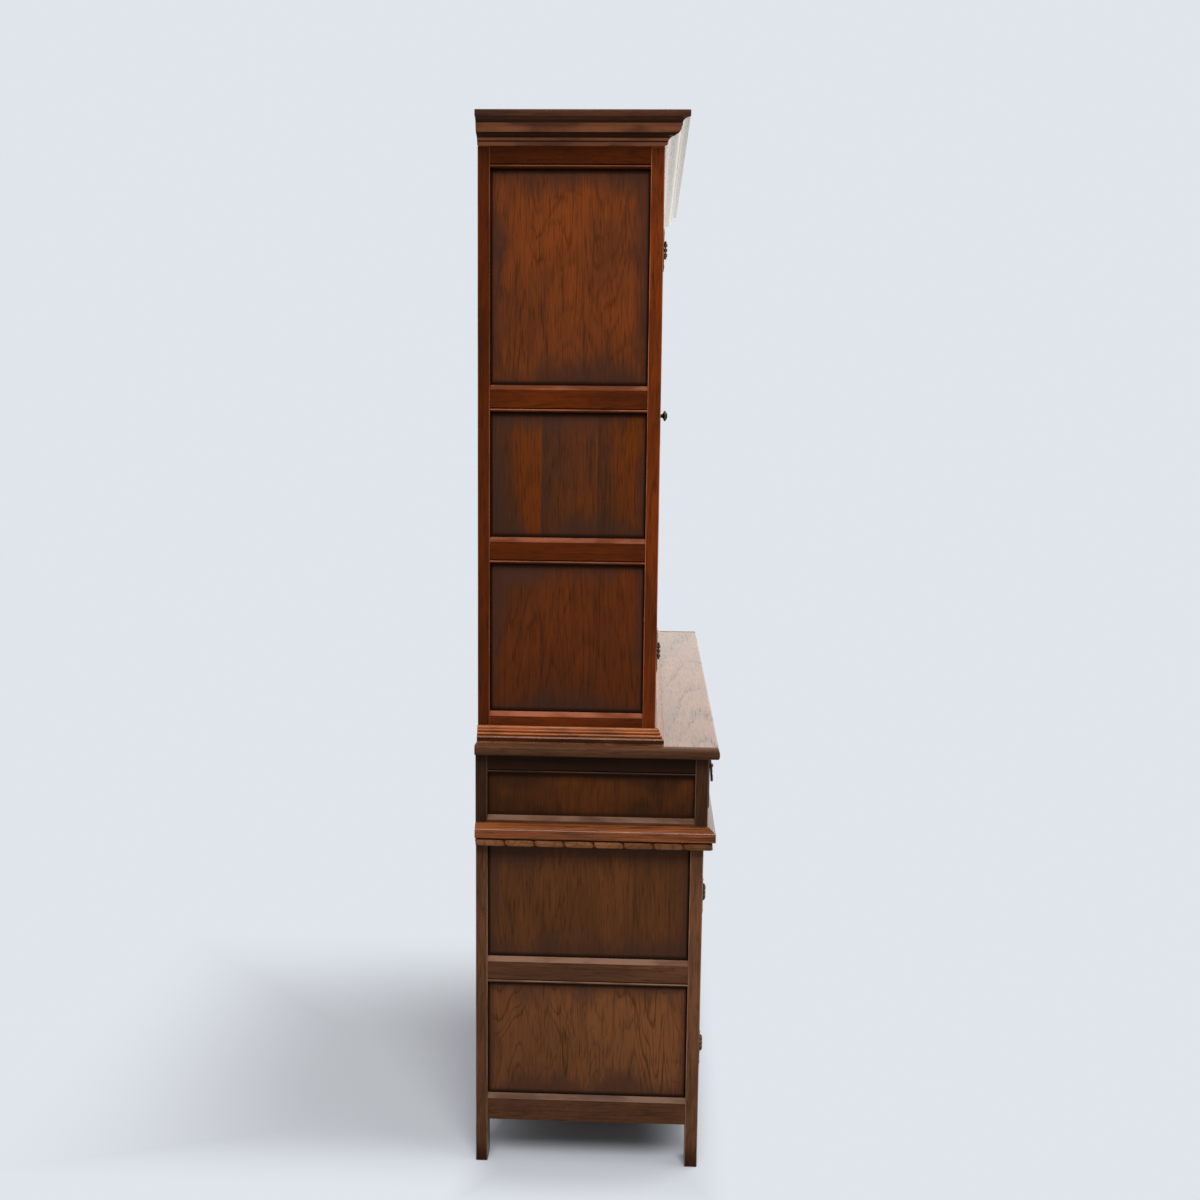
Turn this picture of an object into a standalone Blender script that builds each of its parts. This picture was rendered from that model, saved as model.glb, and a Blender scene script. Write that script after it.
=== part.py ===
"""Display sideboard in dark oak: a cupboard base with drawers, and a glazed display case standing on its top.

Metres, +Z up, front towards -Y. The origin is on the floor, under the middle of the sideboard's box.
"""

import math
from collections import namedtuple

import bmesh
import bpy
from mathutils import Matrix, Vector

# Fits and running gaps
FIT = 0.0003
DOOR_GAP = 0.0015
DRAWER_GAP = 0.0015
DRAWER_SIDE_GAP = 0.003
JOINT_STEP = 0.0005
OVERLAP = 0.010

# Sideboard top
TOP_WIDTH = 1.360
TOP_DEPTH = 0.445
TOP_THICK = 0.0187

# Posts, rails and panels shared by the three cases
POST_WIDTH = 0.045
POST_DEPTH = 0.024
BACK_POST_DEPTH = 0.022
RAIL_THICK = 0.024
PANEL_RECESS = 0.009
PANEL_THICK = 0.008
CHAMFER_HEIGHT = 0.009
BEAD_HEIGHT = 0.0045
BEAD_QUIRK = 0.002
BACK_THICK = 0.006
SHELF_THICK = 0.016
SHELF_SETBACK = 0.015

# Base cupboard
BASE_WIDTH = 1.320
BASE_DEPTH = 0.420
BASE_HEIGHT = 0.645
FOOT_CLEARANCE = 0.085
BASE_END_BOTTOM_RAIL = 0.049
BASE_END_MID_RAIL = 0.0484
BASE_END_TOP_RAIL = 0.016
BASE_MID_RAIL_HEIGHT = 0.357
APRON_RAIL = 0.075
BASE_FRONT_TOP_RAIL = 0.0255
MUNTIN_WIDTH = 0.050
FLOOR_THICK = 0.012
CUPBOARD_SHELF_SETBACK = 0.060

# Waist board: moulded edge, under-strip, and the drawer runners on it
WAIST_THICK = 0.0217
WAIST_FACE = 0.0122
WAIST_SIDE_PROJECTION = 0.018
WAIST_FRONT_PROJECTION = 0.021
STRIP_PROJECTION = 0.016
STRIP_HEIGHT = 0.0117
STRIP_GROOVE = 0.004
STRIP_NECK = 0.008
RUNNER_WIDTH = 0.035

# Drawer case and drawers
DRAWER_CASE_WIDTH = 1.330
DRAWER_CASE_DEPTH = 0.426
DRAWER_CASE_HEIGHT = 0.1287
DRAWER_END_BOTTOM_RAIL = 0.0122
DRAWER_END_TOP_RAIL = 0.0352
DRAWER_FRONT_BOTTOM_RAIL = 0.0247
DRAWER_FRONT_TOP_RAIL = 0.0137
DRAWER_DIVIDER = 0.040
DRAWER_LIP = 0.005
DRAWER_PROUD = 0.004
DRAWER_FRONT_BLOCK = 0.016
DRAWER_BOX_DEPTH = 0.350
DRAWER_WALL = 0.010
DRAWER_BOTTOM = 0.006
DRAWER_BOX_RISE = 0.001
DRAWER_BOX_DROP = 0.010

# Bail handles
HANDLE_INSET = 0.150
HANDLE_PLATE_WIDTH = 0.078
HANDLE_PLATE_HEIGHT = 0.030
HANDLE_PLATE_THICK = 0.0015
PIVOT_HEIGHT = 0.049
PIVOT_REACH = 0.0085
EAR_SPACING = 0.060
EAR_RADIUS = 0.0045
EAR_WIDTH = 0.006
BAIL_RADIUS = 0.0022
BAIL_DROP = 0.037
BAIL_LEAN = 0.0025
BAIL_STUB = 0.004

# Display case
UPPER_WIDTH = 1.254
UPPER_DEPTH = 0.328
UPPER_HEIGHT = 1.0604
UPPER_END_BOTTOM_RAIL = 0.0511
UPPER_END_MID_RAIL = 0.0466
UPPER_END_TOP_RAIL = 0.0362
LOWER_SHELF_RAIL_HEIGHT = 0.3272
UPPER_SHELF_RAIL_HEIGHT = 0.6007
UPPER_FRONT_BOTTOM_RAIL = 0.0452
UPPER_FRONT_TOP_RAIL = 0.0642

# Plinth moulding round the foot of the display case
PLINTH_HEIGHT = 0.0267
PLINTH_STEPS = (0.016, 0.0126, 0.008, 0.006)

# Cornice
CORNICE_HEIGHT = 0.0537
CORNICE_PROJECTION = 0.043
CORNICE_WALL = 0.030
CORNICE_BOARD = 0.018

# Doors
DOOR_THICK = 0.020
DOOR_STILE = 0.048
DOOR_EDGE_ROUND = 0.006
REBATE_WIDTH = 0.008
REBATE_DEPTH = 0.012
GLASS_THICK = 0.004
DOOR_PANEL_THICK = 0.008
UPPER_KNOB_HEIGHT = 0.544
BASE_KNOB_HEIGHT = 0.280

# Knobs
KNOB_ROSE_RADIUS = 0.009
KNOB_NECK_RADIUS = 0.0042
KNOB_HEAD_RADIUS = 0.0115
KNOB_LENGTH = 0.0195

# Surface hinges
HINGE_BARREL_RADIUS = 0.0035
HINGE_BARREL_HEIGHT = 0.023
HINGE_FINIAL = 0.005
HINGE_LEAF_WIDTH = 0.026
HINGE_LEAF_HEIGHT = 0.072
HINGE_LEAF_WAIST = 0.024
HINGE_LEAF_THICK = 0.0012
UPPER_DOOR_LOW_HINGE = 0.116
UPPER_DOOR_TOP_HINGE = 0.106
BASE_DOOR_LOW_HINGE = 0.067
BASE_DOOR_TOP_HINGE = 0.091

ROUND_SIDES = 16
ARC_STEPS = 4

# Levels of the stack, from the floor up
BACK = TOP_DEPTH / 2
WAIST_Z = BASE_HEIGHT + FIT
DRAWER_CASE_Z = WAIST_Z + WAIST_THICK + FIT
TOP_Z = DRAWER_CASE_Z + DRAWER_CASE_HEIGHT + FIT
UPPER_Z = TOP_Z + TOP_THICK + FIT
CORNICE_Z = UPPER_Z + UPPER_HEIGHT + FIT

Case = namedtuple("Case", "half front bottom top")
BASE = Case(BASE_WIDTH / 2, BACK - BASE_DEPTH, 0.0, BASE_HEIGHT)
DRAWERS = Case(DRAWER_CASE_WIDTH / 2, BACK - DRAWER_CASE_DEPTH, DRAWER_CASE_Z, DRAWER_CASE_Z + DRAWER_CASE_HEIGHT)
UPPER = Case(UPPER_WIDTH / 2, BACK - UPPER_DEPTH, UPPER_Z, UPPER_Z + UPPER_HEIGHT)

Opening = namedtuple("Opening", "x0 x1 z0 z1")
SIDES = {"left": -1, "right": 1}


def clear_scene():
    for obj in list(bpy.data.objects):
        bpy.data.objects.remove(obj, do_unlink=True)


def finish(name, colour, roughness, metallic=0.0, transmission=0.0):
    material = bpy.data.materials.new(name)
    material.use_nodes = True
    shader = material.node_tree.nodes["Principled BSDF"]
    shader.inputs["Base Color"].default_value = (*colour, 1.0)
    shader.inputs["Roughness"].default_value = roughness
    shader.inputs["Metallic"].default_value = metallic
    shader.inputs["Transmission Weight"].default_value = transmission
    return material


# Meshes from Blender's modelling tools
def mesh_of(bm):
    bmesh.ops.recalc_face_normals(bm, faces=bm.faces)
    mesh = bpy.data.meshes.new("shape")
    bm.to_mesh(mesh)
    bm.free()
    return mesh


def box(x0, x1, y0, y1, z0, z1):
    bm = bmesh.new()
    size = Vector((x1 - x0, y1 - y0, z1 - z0))
    middle = Vector((x0 + x1, y0 + y1, z0 + z1)) / 2
    bmesh.ops.create_cube(bm, size=1.0, matrix=Matrix.Translation(middle) @ Matrix.Diagonal((*size, 1.0)))
    return mesh_of(bm)


def prism(outline, along):
    """A flat outline of points, extruded by a vector."""
    bm = bmesh.new()
    face = bm.faces.new([bm.verts.new(point) for point in outline])
    made = bmesh.ops.extrude_face_region(bm, geom=[face])
    moved = [item for item in made["geom"] if isinstance(item, bmesh.types.BMVert)]
    bmesh.ops.translate(bm, verts=moved, vec=along)
    return mesh_of(bm)


def loft(rings, closed=False):
    """Rings of points joined one to the next. An open loft is capped, a closed one joins its last ring to its first."""
    bm = bmesh.new()
    loops = [[bm.verts.new(point) for point in ring] for ring in rings]
    pairs = list(zip(loops, loops[1:]))
    if closed:
        pairs.append((loops[-1], loops[0]))
    count = len(rings[0])
    for first, second in pairs:
        for i in range(count):
            j = (i + 1) % count
            bm.faces.new((first[i], first[j], second[j], second[i]))
    if not closed:
        bm.faces.new(loops[0])
        bm.faces.new(loops[-1])
    return mesh_of(bm)


def turned(profile, centre, along):
    """A turned solid: (radius, distance) pairs along an axis from a centre, starting and ending on the axis."""
    bm = bmesh.new()
    across = along.orthogonal().normalized()
    points = [bm.verts.new(centre + along * distance + across * radius) for radius, distance in profile]
    edges = [bm.edges.new(pair) for pair in zip(points, points[1:])]
    bmesh.ops.spin(bm, geom=points + edges, cent=centre, axis=along, angle=math.tau, steps=ROUND_SIDES)
    bmesh.ops.remove_doubles(bm, verts=bm.verts, dist=1e-6)
    return mesh_of(bm)


def tube(points, radius):
    """A round bar along a path, with flat ends."""
    curve = bpy.data.curves.new("path", "CURVE")
    curve.dimensions = "3D"
    curve.bevel_depth = radius
    curve.bevel_resolution = 2
    curve.use_fill_caps = True
    spline = curve.splines.new("POLY")
    spline.points.add(len(points) - 1)
    for spline_point, point in zip(spline.points, points):
        spline_point.co = (*point, 1.0)
    obj = bpy.data.objects.new("path", curve)
    bpy.context.collection.objects.link(obj)
    bm = bmesh.new()
    bm.from_mesh(obj.to_mesh())
    obj.to_mesh_clear()
    bpy.data.objects.remove(obj)
    bmesh.ops.remove_doubles(bm, verts=bm.verts, dist=1e-6)
    return mesh_of(bm)


def combined(operation, first, *others):
    """One mesh from several, by exact Booleans."""
    helpers = [bpy.data.objects.new("helper", mesh) for mesh in (first, *others)]
    for helper in helpers:
        bpy.context.collection.objects.link(helper)
    for other in helpers[1:]:
        modifier = helpers[0].modifiers.new(operation, "BOOLEAN")
        modifier.operation = operation
        modifier.solver = "EXACT"
        modifier.object = other
    graph = bpy.context.evaluated_depsgraph_get()
    mesh = bpy.data.meshes.new_from_object(helpers[0].evaluated_get(graph))
    for helper in helpers:
        bpy.data.objects.remove(helper)
    return mesh


def united(*meshes):
    return combined("UNION", *meshes)


def part(name, mesh, material, carrier=None, smooth_angle=None):
    """A named piece of the sideboard. A moving piece hangs on the empty that sits on its joint's axis."""
    obj = bpy.data.objects.new(name, mesh)
    mesh.name = name
    mesh.materials.clear()
    mesh.materials.append(material)
    if smooth_angle:
        mesh.shade_smooth()
        mesh.set_sharp_from_angle(angle=math.radians(smooth_angle))
    bpy.context.collection.objects.link(obj)
    if carrier:
        obj.parent = carrier
        obj.matrix_parent_inverse = Matrix.Translation(-carrier.location)
    return obj


def joint_empty(name, place):
    empty = bpy.data.objects.new(name, None)
    empty.location = place
    empty.empty_display_size = 0.05
    bpy.context.collection.objects.link(empty)
    return empty


# Outlines
def quarter(start, end, hollow):
    """A quarter curve between two (projection, height) points: a cove if hollow, else an ovolo."""
    points = []
    for step in range(ARC_STEPS + 1):
        turn = math.pi / 2 * step / ARC_STEPS
        across, up = (1 - math.cos(turn), math.sin(turn)) if hollow else (math.sin(turn), 1 - math.cos(turn))
        points.append((start[0] + (end[0] - start[0]) * across, start[1] + (end[1] - start[1]) * up))
    return points


def rectangle(half, front, back, z):
    return [(-half, front, z), (half, front, z), (half, back, z), (-half, back, z)]


def moulded_board(half, front, back, z, profile):
    """A board whose front and side edges follow (projection, height) pairs. Its back edge is straight."""
    return loft([rectangle(half + out, front - out, back, z + up) for out, up in profile])


def wrapped(half, front, back, z, profile):
    """A moulding mitred round the front and both ends of a case, from a closed (projection, height) outline."""
    stations = ((-1, back, 0), (-1, front, 1), (1, front, 1), (1, back, 0))
    rings = []
    for side, y, mitre in stations:
        rings.append([(side * (half + out), y - mitre * out, z + up) for out, up in profile])
    return loft(rings)


def frame_ring(opening, y, profile):
    """A four-sided frame from a closed outline of (inset, depth) pairs, mitred round a door's edge."""
    rings = []
    for inset, depth in profile:
        x0, x1 = opening.x0 + inset, opening.x1 - inset
        z0, z1 = opening.z0 + inset, opening.z1 - inset
        rings.append([(x0, y + depth, z0), (x1, y + depth, z0), (x1, y + depth, z1), (x0, y + depth, z1)])
    return loft(rings, closed=True)


# Frames and panels of a case's ends
def end_rail(case, sign, z0, z1, y0, y1, beaded=True):
    """A rail of an end: chamfered along its top edge. All but the lowest have a small bead along the lower edge."""
    face = case.half - JOINT_STEP
    inner = case.half - RAIL_THICK
    shoulder = case.half - PANEL_RECESS
    lower_edge = ((face, z0),)
    if beaded:
        lower_edge = (
            (face - BEAD_QUIRK, z0),
            (face - BEAD_QUIRK / 2, z0 + BEAD_HEIGHT / 3),
            (face - BEAD_QUIRK / 2, z0 + BEAD_HEIGHT * 2 / 3),
            (face - BEAD_QUIRK, z0 + BEAD_HEIGHT),
            (face, z0 + BEAD_HEIGHT),
        )
    outline = ((inner, z0), *lower_edge, (face, z1 - CHAMFER_HEIGHT), (shoulder, z1), (inner, z1))
    return prism([(sign * x, y0, z) for x, z in outline], (0, y1 - y0, 0))


def back_post(case, sign):
    x0, x1 = sorted((sign * case.half, sign * (case.half - POST_WIDTH)))
    return box(x0, x1, BACK - BACK_POST_DEPTH, BACK, case.bottom, case.top)


def front_post(case, sign):
    x0, x1 = sorted((sign * case.half, sign * (case.half - POST_WIDTH)))
    return box(x0, x1, case.front, case.front + POST_DEPTH, case.bottom, case.top)


def front_bar(case, x0, x1, z0, z1):
    """A rail or muntin of a front frame, a little shy of the posts' faces."""
    return box(x0, x1, case.front + JOINT_STEP, case.front + POST_DEPTH - JOINT_STEP, z0, z1)


def end_span(case):
    """From behind the front post to inside the back post."""
    return case.front + POST_DEPTH + FIT, BACK - BACK_POST_DEPTH + OVERLAP


def end_frame(prefix, case, rails, oak):
    y0, y1 = end_span(case)
    for side, sign in SIDES.items():
        bars = [end_rail(case, sign, z0, z1, y0, y1, beaded=i > 0) for i, (z0, z1) in enumerate(rails)]
        part(f"{prefix}_{side}_end_frame", united(back_post(case, sign), *bars), oak)


def end_panels(prefix, case, rails, names, oak):
    """The panels between the rails of an end, each set back from the frame's face."""
    y0 = case.front + POST_DEPTH + FIT
    y1 = BACK - BACK_POST_DEPTH - FIT
    for side, sign in SIDES.items():
        outer = case.half - PANEL_RECESS
        x0, x1 = sorted((sign * outer, sign * (outer - PANEL_THICK)))
        for name, below, above in zip(names, rails, rails[1:]):
            panel = box(x0, x1, y0, y1, below[1] + FIT, above[0] - FIT)
            part(f"{prefix}_{side}_{name}_panel", panel, oak)


def back_panel(name, case, z0, oak):
    half = case.half - POST_WIDTH - FIT
    y0 = BACK - BACK_POST_DEPTH
    part(name, box(-half, half, y0, y0 + BACK_THICK, z0, case.top), oak)


def ledge_board(name, case, ledge, thick, setback, oak):
    """A floor or shelf that rests on the ledges of the end rails."""
    half = case.half - PANEL_RECESS - PANEL_THICK - FIT
    y0 = case.front + POST_DEPTH + FIT + setback
    y1 = BACK - BACK_POST_DEPTH - FIT
    part(name, box(-half, half, y0, y1, ledge + FIT, ledge + FIT + thick), oak)


# Base cupboard
def base_end_rails():
    mid = BASE_MID_RAIL_HEIGHT
    return (
        (FOOT_CLEARANCE, FOOT_CLEARANCE + BASE_END_BOTTOM_RAIL),
        (mid, mid + BASE_END_MID_RAIL),
        (BASE.top - BASE_END_TOP_RAIL, BASE.top - JOINT_STEP),
    )


def base_openings():
    z0 = FOOT_CLEARANCE + APRON_RAIL
    z1 = BASE.top - BASE_FRONT_TOP_RAIL
    inner = BASE.half - POST_WIDTH
    return {"left": Opening(-inner, -MUNTIN_WIDTH / 2, z0, z1), "right": Opening(MUNTIN_WIDTH / 2, inner, z0, z1)}


def make_base(oak):
    rails = base_end_rails()
    opening = base_openings()["right"]
    reach = BASE.half - POST_WIDTH + OVERLAP
    half_muntin = MUNTIN_WIDTH / 2
    face = united(
        front_post(BASE, -1),
        front_post(BASE, 1),
        front_bar(BASE, -reach, reach, FOOT_CLEARANCE, opening.z0),
        front_bar(BASE, -reach, reach, opening.z1, BASE.top - JOINT_STEP),
        box(
            -half_muntin,
            half_muntin,
            BASE.front + 2 * JOINT_STEP,
            BASE.front + POST_DEPTH - 2 * JOINT_STEP,
            opening.z0 - OVERLAP,
            opening.z1 + OVERLAP,
        ),
    )
    part("base_face_frame", face, oak)
    end_frame("base", BASE, rails, oak)
    end_panels("base", BASE, rails, ("lower", "upper"), oak)
    back_panel("base_back_panel", BASE, FOOT_CLEARANCE, oak)
    ledge_board("base_floor", BASE, rails[0][1], FLOOR_THICK, 0.0, oak)
    ledge_board("cupboard_shelf", BASE, rails[1][1], SHELF_THICK, CUPBOARD_SHELF_SETBACK, oak)


# Waist board
def runner_top():
    return drawer_openings()["right"].z0 + DRAWER_GAP + DRAWER_BOX_RISE - FIT


def make_waist_board(oak):
    half = BASE.half + WAIST_SIDE_PROJECTION
    front = BASE.front - WAIST_FRONT_PROJECTION
    chamfer = half - DRAWERS.half - JOINT_STEP
    board = moulded_board(half, front, BACK, WAIST_Z, ((0, 0), (0, WAIST_FACE), (-chamfer, WAIST_THICK)))
    under = -STRIP_GROOVE
    into_board = WAIST_FACE / 4
    outline = (
        (FIT, under - STRIP_HEIGHT),
        (STRIP_PROJECTION, under - STRIP_HEIGHT),
        (STRIP_PROJECTION, under),
        (STRIP_NECK, under),
        (STRIP_NECK, into_board),
        (FIT, into_board),
    )
    strip = wrapped(BASE.half, BASE.front, BACK - JOINT_STEP, WAIST_Z, outline)
    y0 = DRAWERS.front + POST_DEPTH + FIT
    y1 = BACK - BACK_POST_DEPTH - FIT
    z0 = WAIST_Z + WAIST_THICK / 2
    outer = DRAWERS.half - POST_WIDTH + DRAWER_SIDE_GAP
    middle = DRAWER_DIVIDER / 2 + RUNNER_WIDTH
    runners = [
        box(-outer, -outer + RUNNER_WIDTH, y0, y1, z0, runner_top()),
        box(-middle, middle, y0, y1, z0, runner_top()),
        box(outer - RUNNER_WIDTH, outer, y0, y1, z0, runner_top()),
    ]
    part("waist_board", united(board, strip, *runners), oak)


# Drawer case
def drawer_openings():
    inner = DRAWERS.half - POST_WIDTH
    middle = DRAWER_DIVIDER / 2
    z0 = DRAWERS.bottom + DRAWER_FRONT_BOTTOM_RAIL
    z1 = DRAWERS.top - DRAWER_FRONT_TOP_RAIL
    return {"left": Opening(-inner, -middle, z0, z1), "right": Opening(middle, inner, z0, z1)}


def make_drawer_case(oak):
    opening = drawer_openings()["right"]
    reach = DRAWERS.half - POST_WIDTH + OVERLAP
    low, high = DRAWERS.bottom + JOINT_STEP, DRAWERS.top - JOINT_STEP
    y0 = DRAWERS.front + POST_DEPTH - OVERLAP
    y1 = BACK - BACK_POST_DEPTH + OVERLAP
    pieces = [
        front_bar(DRAWERS, -reach, reach, low, opening.z0),
        front_bar(DRAWERS, -reach, reach, opening.z1, high),
        box(
            opening.x0 - DRAWER_DIVIDER,
            opening.x0,
            DRAWERS.front + 2 * JOINT_STEP,
            DRAWERS.front + POST_DEPTH - 2 * JOINT_STEP,
            opening.z0 - DRAWER_FRONT_TOP_RAIL / 2,
            opening.z1 + DRAWER_FRONT_TOP_RAIL / 2,
        ),
        box(-reach, reach, BACK - BACK_POST_DEPTH + JOINT_STEP, BACK - BACK_POST_DEPTH + BACK_THICK, low, high),
    ]
    for sign in SIDES.values():
        outer = DRAWERS.half - PANEL_RECESS
        x0, x1 = sorted((sign * outer, sign * (outer - PANEL_THICK)))
        pieces += [
            front_post(DRAWERS, sign),
            back_post(DRAWERS, sign),
            end_rail(DRAWERS, sign, low, low + DRAWER_END_BOTTOM_RAIL, y0, y1, beaded=False),
            end_rail(DRAWERS, sign, DRAWERS.top - DRAWER_END_TOP_RAIL, high, y0, y1),
            box(x0, x1, y0 + JOINT_STEP, y1 - JOINT_STEP, low + JOINT_STEP, high - JOINT_STEP),
        ]
    part("drawer_case", united(*pieces), oak)


def make_drawer(side, oak, brass):
    """A lipped front, its box, and two bail handles. The drawer slides out along -Y."""
    opening = drawer_openings()[side]
    face_y = DRAWERS.front - DRAWER_PROUD
    middle = (opening.x0 + opening.x1) / 2
    slide = joint_empty(f"{side}_drawer_slide", (middle, face_y, (opening.z0 + opening.z1) / 2))
    lip_y = DRAWERS.front - FIT
    lip_round = DRAWER_PROUD / 2
    lip = Opening(
        opening.x0 - DRAWER_LIP,
        opening.x1 + DRAWER_LIP,
        opening.z0 - DRAWER_LIP,
        opening.z1 + DRAWER_LIP,
    )
    rings = []
    for inset, y in ((lip_round, face_y), (0, face_y + lip_round), (0, lip_y)):
        x0, x1 = lip.x0 + inset, lip.x1 - inset
        z0, z1 = lip.z0 + inset, lip.z1 - inset
        rings.append([(x0, y, z0), (x1, y, z0), (x1, y, z1), (x0, y, z1)])
    block_back = DRAWERS.front + DRAWER_FRONT_BLOCK
    block = box(
        opening.x0 + DRAWER_GAP,
        opening.x1 - DRAWER_GAP,
        face_y + lip_round,
        block_back,
        opening.z0 + DRAWER_GAP,
        opening.z1 - DRAWER_GAP,
    )
    part(f"{side}_drawer_front", united(loft(rings), block), oak, slide)
    box_x = (opening.x0 + DRAWER_SIDE_GAP, opening.x1 - DRAWER_SIDE_GAP)
    box_y = (block_back + FIT, block_back + FIT + DRAWER_BOX_DEPTH)
    z0 = opening.z0 + DRAWER_GAP + DRAWER_BOX_RISE
    z1 = opening.z1 - DRAWER_GAP - DRAWER_BOX_DROP
    tray = []
    for inset, z in ((0, z0), (0, z1), (DRAWER_WALL, z1), (DRAWER_WALL, z0 + DRAWER_BOTTOM)):
        x0, x1 = box_x[0] + inset, box_x[1] - inset
        y0, y1 = box_y[0] + inset, box_y[1] - inset
        tray.append([(x0, y0, z), (x1, y0, z), (x1, y1, z), (x0, y1, z)])
    part(f"{side}_drawer_box", loft(tray), oak, slide)
    for place, x in (("outer", opening.x0 + HANDLE_INSET), ("inner", opening.x1 - HANDLE_INSET)):
        if side == "right":
            place = {"outer": "inner", "inner": "outer"}[place]
        make_handle(f"{side}_{place}", x, face_y, opening.z0 + PIVOT_HEIGHT, slide, brass)


def make_handle(name, x, face_y, pivot_z, slide, brass):
    """A plate with two bored ears, and the bail that hangs between them."""
    pivot_y = face_y - FIT - PIVOT_REACH
    plate_y = face_y - FIT
    half_width, half_height = HANDLE_PLATE_WIDTH / 2, HANDLE_PLATE_HEIGHT / 2
    corner = half_height / 2
    outline = (
        (-half_width, -half_height + corner),
        (-half_width + corner, -half_height),
        (half_width - corner, -half_height),
        (half_width, -half_height + corner),
        (half_width, half_height - corner),
        (half_width - corner, half_height),
        (-half_width + corner, half_height),
        (-half_width, half_height - corner),
    )
    plate = prism([(x + u, plate_y, pivot_z + w) for u, w in outline], (0, -HANDLE_PLATE_THICK, 0))
    ears = []
    for sign in SIDES.values():
        start = x + sign * EAR_SPACING / 2 - EAR_WIDTH / 2
        knuckle = ((0, 0), (EAR_RADIUS, 0), (EAR_RADIUS, EAR_WIDTH), (0, EAR_WIDTH))
        ears.append(turned(knuckle, Vector((start, pivot_y, pivot_z)), Vector((1, 0, 0))))
        ears.append(
            box(
                start + JOINT_STEP,
                start + EAR_WIDTH - JOINT_STEP,
                pivot_y,
                plate_y - HANDLE_PLATE_THICK / 2,
                pivot_z - EAR_RADIUS * 0.7,
                pivot_z + EAR_RADIUS * 0.7,
            )
        )
    bore_half = EAR_SPACING / 2 - EAR_WIDTH / 2 + BAIL_STUB
    bore_radius = BAIL_RADIUS + FIT * 2
    bore = turned(
        ((0, 0), (bore_radius, 0), (bore_radius, 2 * bore_half), (0, 2 * bore_half)),
        Vector((x - bore_half, pivot_y, pivot_z)),
        Vector((1, 0, 0)),
    )
    part(f"{name}_handle_plate", combined("DIFFERENCE", united(plate, *ears), bore), brass, slide, 40)
    hang = joint_empty(f"{name}_bail_pivot", (x, pivot_y, pivot_z))
    hang.parent = slide
    hang.matrix_parent_inverse = Matrix.Translation(-slide.location)
    stub_end = bore_half - 2 * FIT
    arm = EAR_SPACING / 2 - EAR_WIDTH / 2 - 2 * BAIL_RADIUS
    elbow = 2 * BAIL_RADIUS
    path = [(-stub_end, 0.0), (-arm - elbow / 2, 0.0), (-arm, -elbow / 2)]
    drop_start = BAIL_DROP * 0.45
    for step in range(2 * ARC_STEPS + 1):
        turn = math.pi * step / (2 * ARC_STEPS)
        path.append((-arm * math.cos(turn), -drop_start - (BAIL_DROP - drop_start) * math.sin(turn)))
    path += [(arm, -elbow / 2), (arm + elbow / 2, 0.0), (stub_end, 0.0)]
    points = [(x + u, pivot_y + BAIL_LEAN * w / BAIL_DROP, pivot_z + w) for u, w in path]
    bail = part(f"{name}_bail", tube(points, BAIL_RADIUS), brass, hang, 50)
    bail.matrix_parent_inverse = Matrix.Translation(-hang.location)


# Sideboard top
def make_top(oak):
    thumbnail = (
        (-0.21 * TOP_THICK, 0),
        (-0.05 * TOP_THICK, 0.16 * TOP_THICK),
        (0, 0.42 * TOP_THICK),
        (-0.03 * TOP_THICK, 0.68 * TOP_THICK),
        (-0.16 * TOP_THICK, 0.90 * TOP_THICK),
        (-0.42 * TOP_THICK, TOP_THICK),
    )
    part("sideboard_top", moulded_board(TOP_WIDTH / 2, -BACK, BACK, TOP_Z, thumbnail), oak)


# Display case
def upper_end_rails():
    low = UPPER.bottom + LOWER_SHELF_RAIL_HEIGHT
    high = UPPER.bottom + UPPER_SHELF_RAIL_HEIGHT
    return (
        (UPPER.bottom + JOINT_STEP, UPPER.bottom + UPPER_END_BOTTOM_RAIL),
        (low, low + UPPER_END_MID_RAIL),
        (high, high + UPPER_END_MID_RAIL),
        (UPPER.top - UPPER_END_TOP_RAIL, UPPER.top - JOINT_STEP),
    )


def upper_openings():
    inner = UPPER.half - POST_WIDTH
    z0 = UPPER.bottom + UPPER_FRONT_BOTTOM_RAIL
    z1 = UPPER.top - UPPER_FRONT_TOP_RAIL
    return {"left": Opening(-inner, DOOR_GAP / 2, z0, z1), "right": Opening(-DOOR_GAP / 2, inner, z0, z1)}


def make_display_case(oak):
    rails = upper_end_rails()
    opening = upper_openings()["right"]
    reach = UPPER.half - POST_WIDTH + OVERLAP
    face = united(
        front_post(UPPER, -1),
        front_post(UPPER, 1),
        front_bar(UPPER, -reach, reach, UPPER.bottom + JOINT_STEP, opening.z0),
        front_bar(UPPER, -reach, reach, opening.z1, UPPER.top - JOINT_STEP),
    )
    part("upper_face_frame", face, oak)
    end_frame("upper", UPPER, rails, oak)
    end_panels("upper", UPPER, rails, ("lower", "middle", "upper"), oak)
    back_panel("upper_back_panel", UPPER, UPPER.bottom, oak)
    ledge_board("display_floor", UPPER, rails[0][1], FLOOR_THICK, 0.0, oak)
    ledge_board("lower_display_shelf", UPPER, rails[1][1], SHELF_THICK, SHELF_SETBACK, oak)
    ledge_board("upper_display_shelf", UPPER, rails[2][1], SHELF_THICK, SHELF_SETBACK, oak)


def make_plinth_moulding(oak):
    """Steps that fall back from the foot to the top, each edge eased."""
    step = PLINTH_HEIGHT / len(PLINTH_STEPS)
    ease = step / 3
    outline = [(FIT, 0)]
    for i, out in enumerate(PLINTH_STEPS):
        outline += [(out, i * step), (out, (i + 1) * step - ease)]
    outline += [(PLINTH_STEPS[-1] - ease, PLINTH_HEIGHT), (FIT, PLINTH_HEIGHT)]
    part("plinth_moulding", wrapped(UPPER.half, UPPER.front, BACK, UPPER.bottom, outline), oak)


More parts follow.
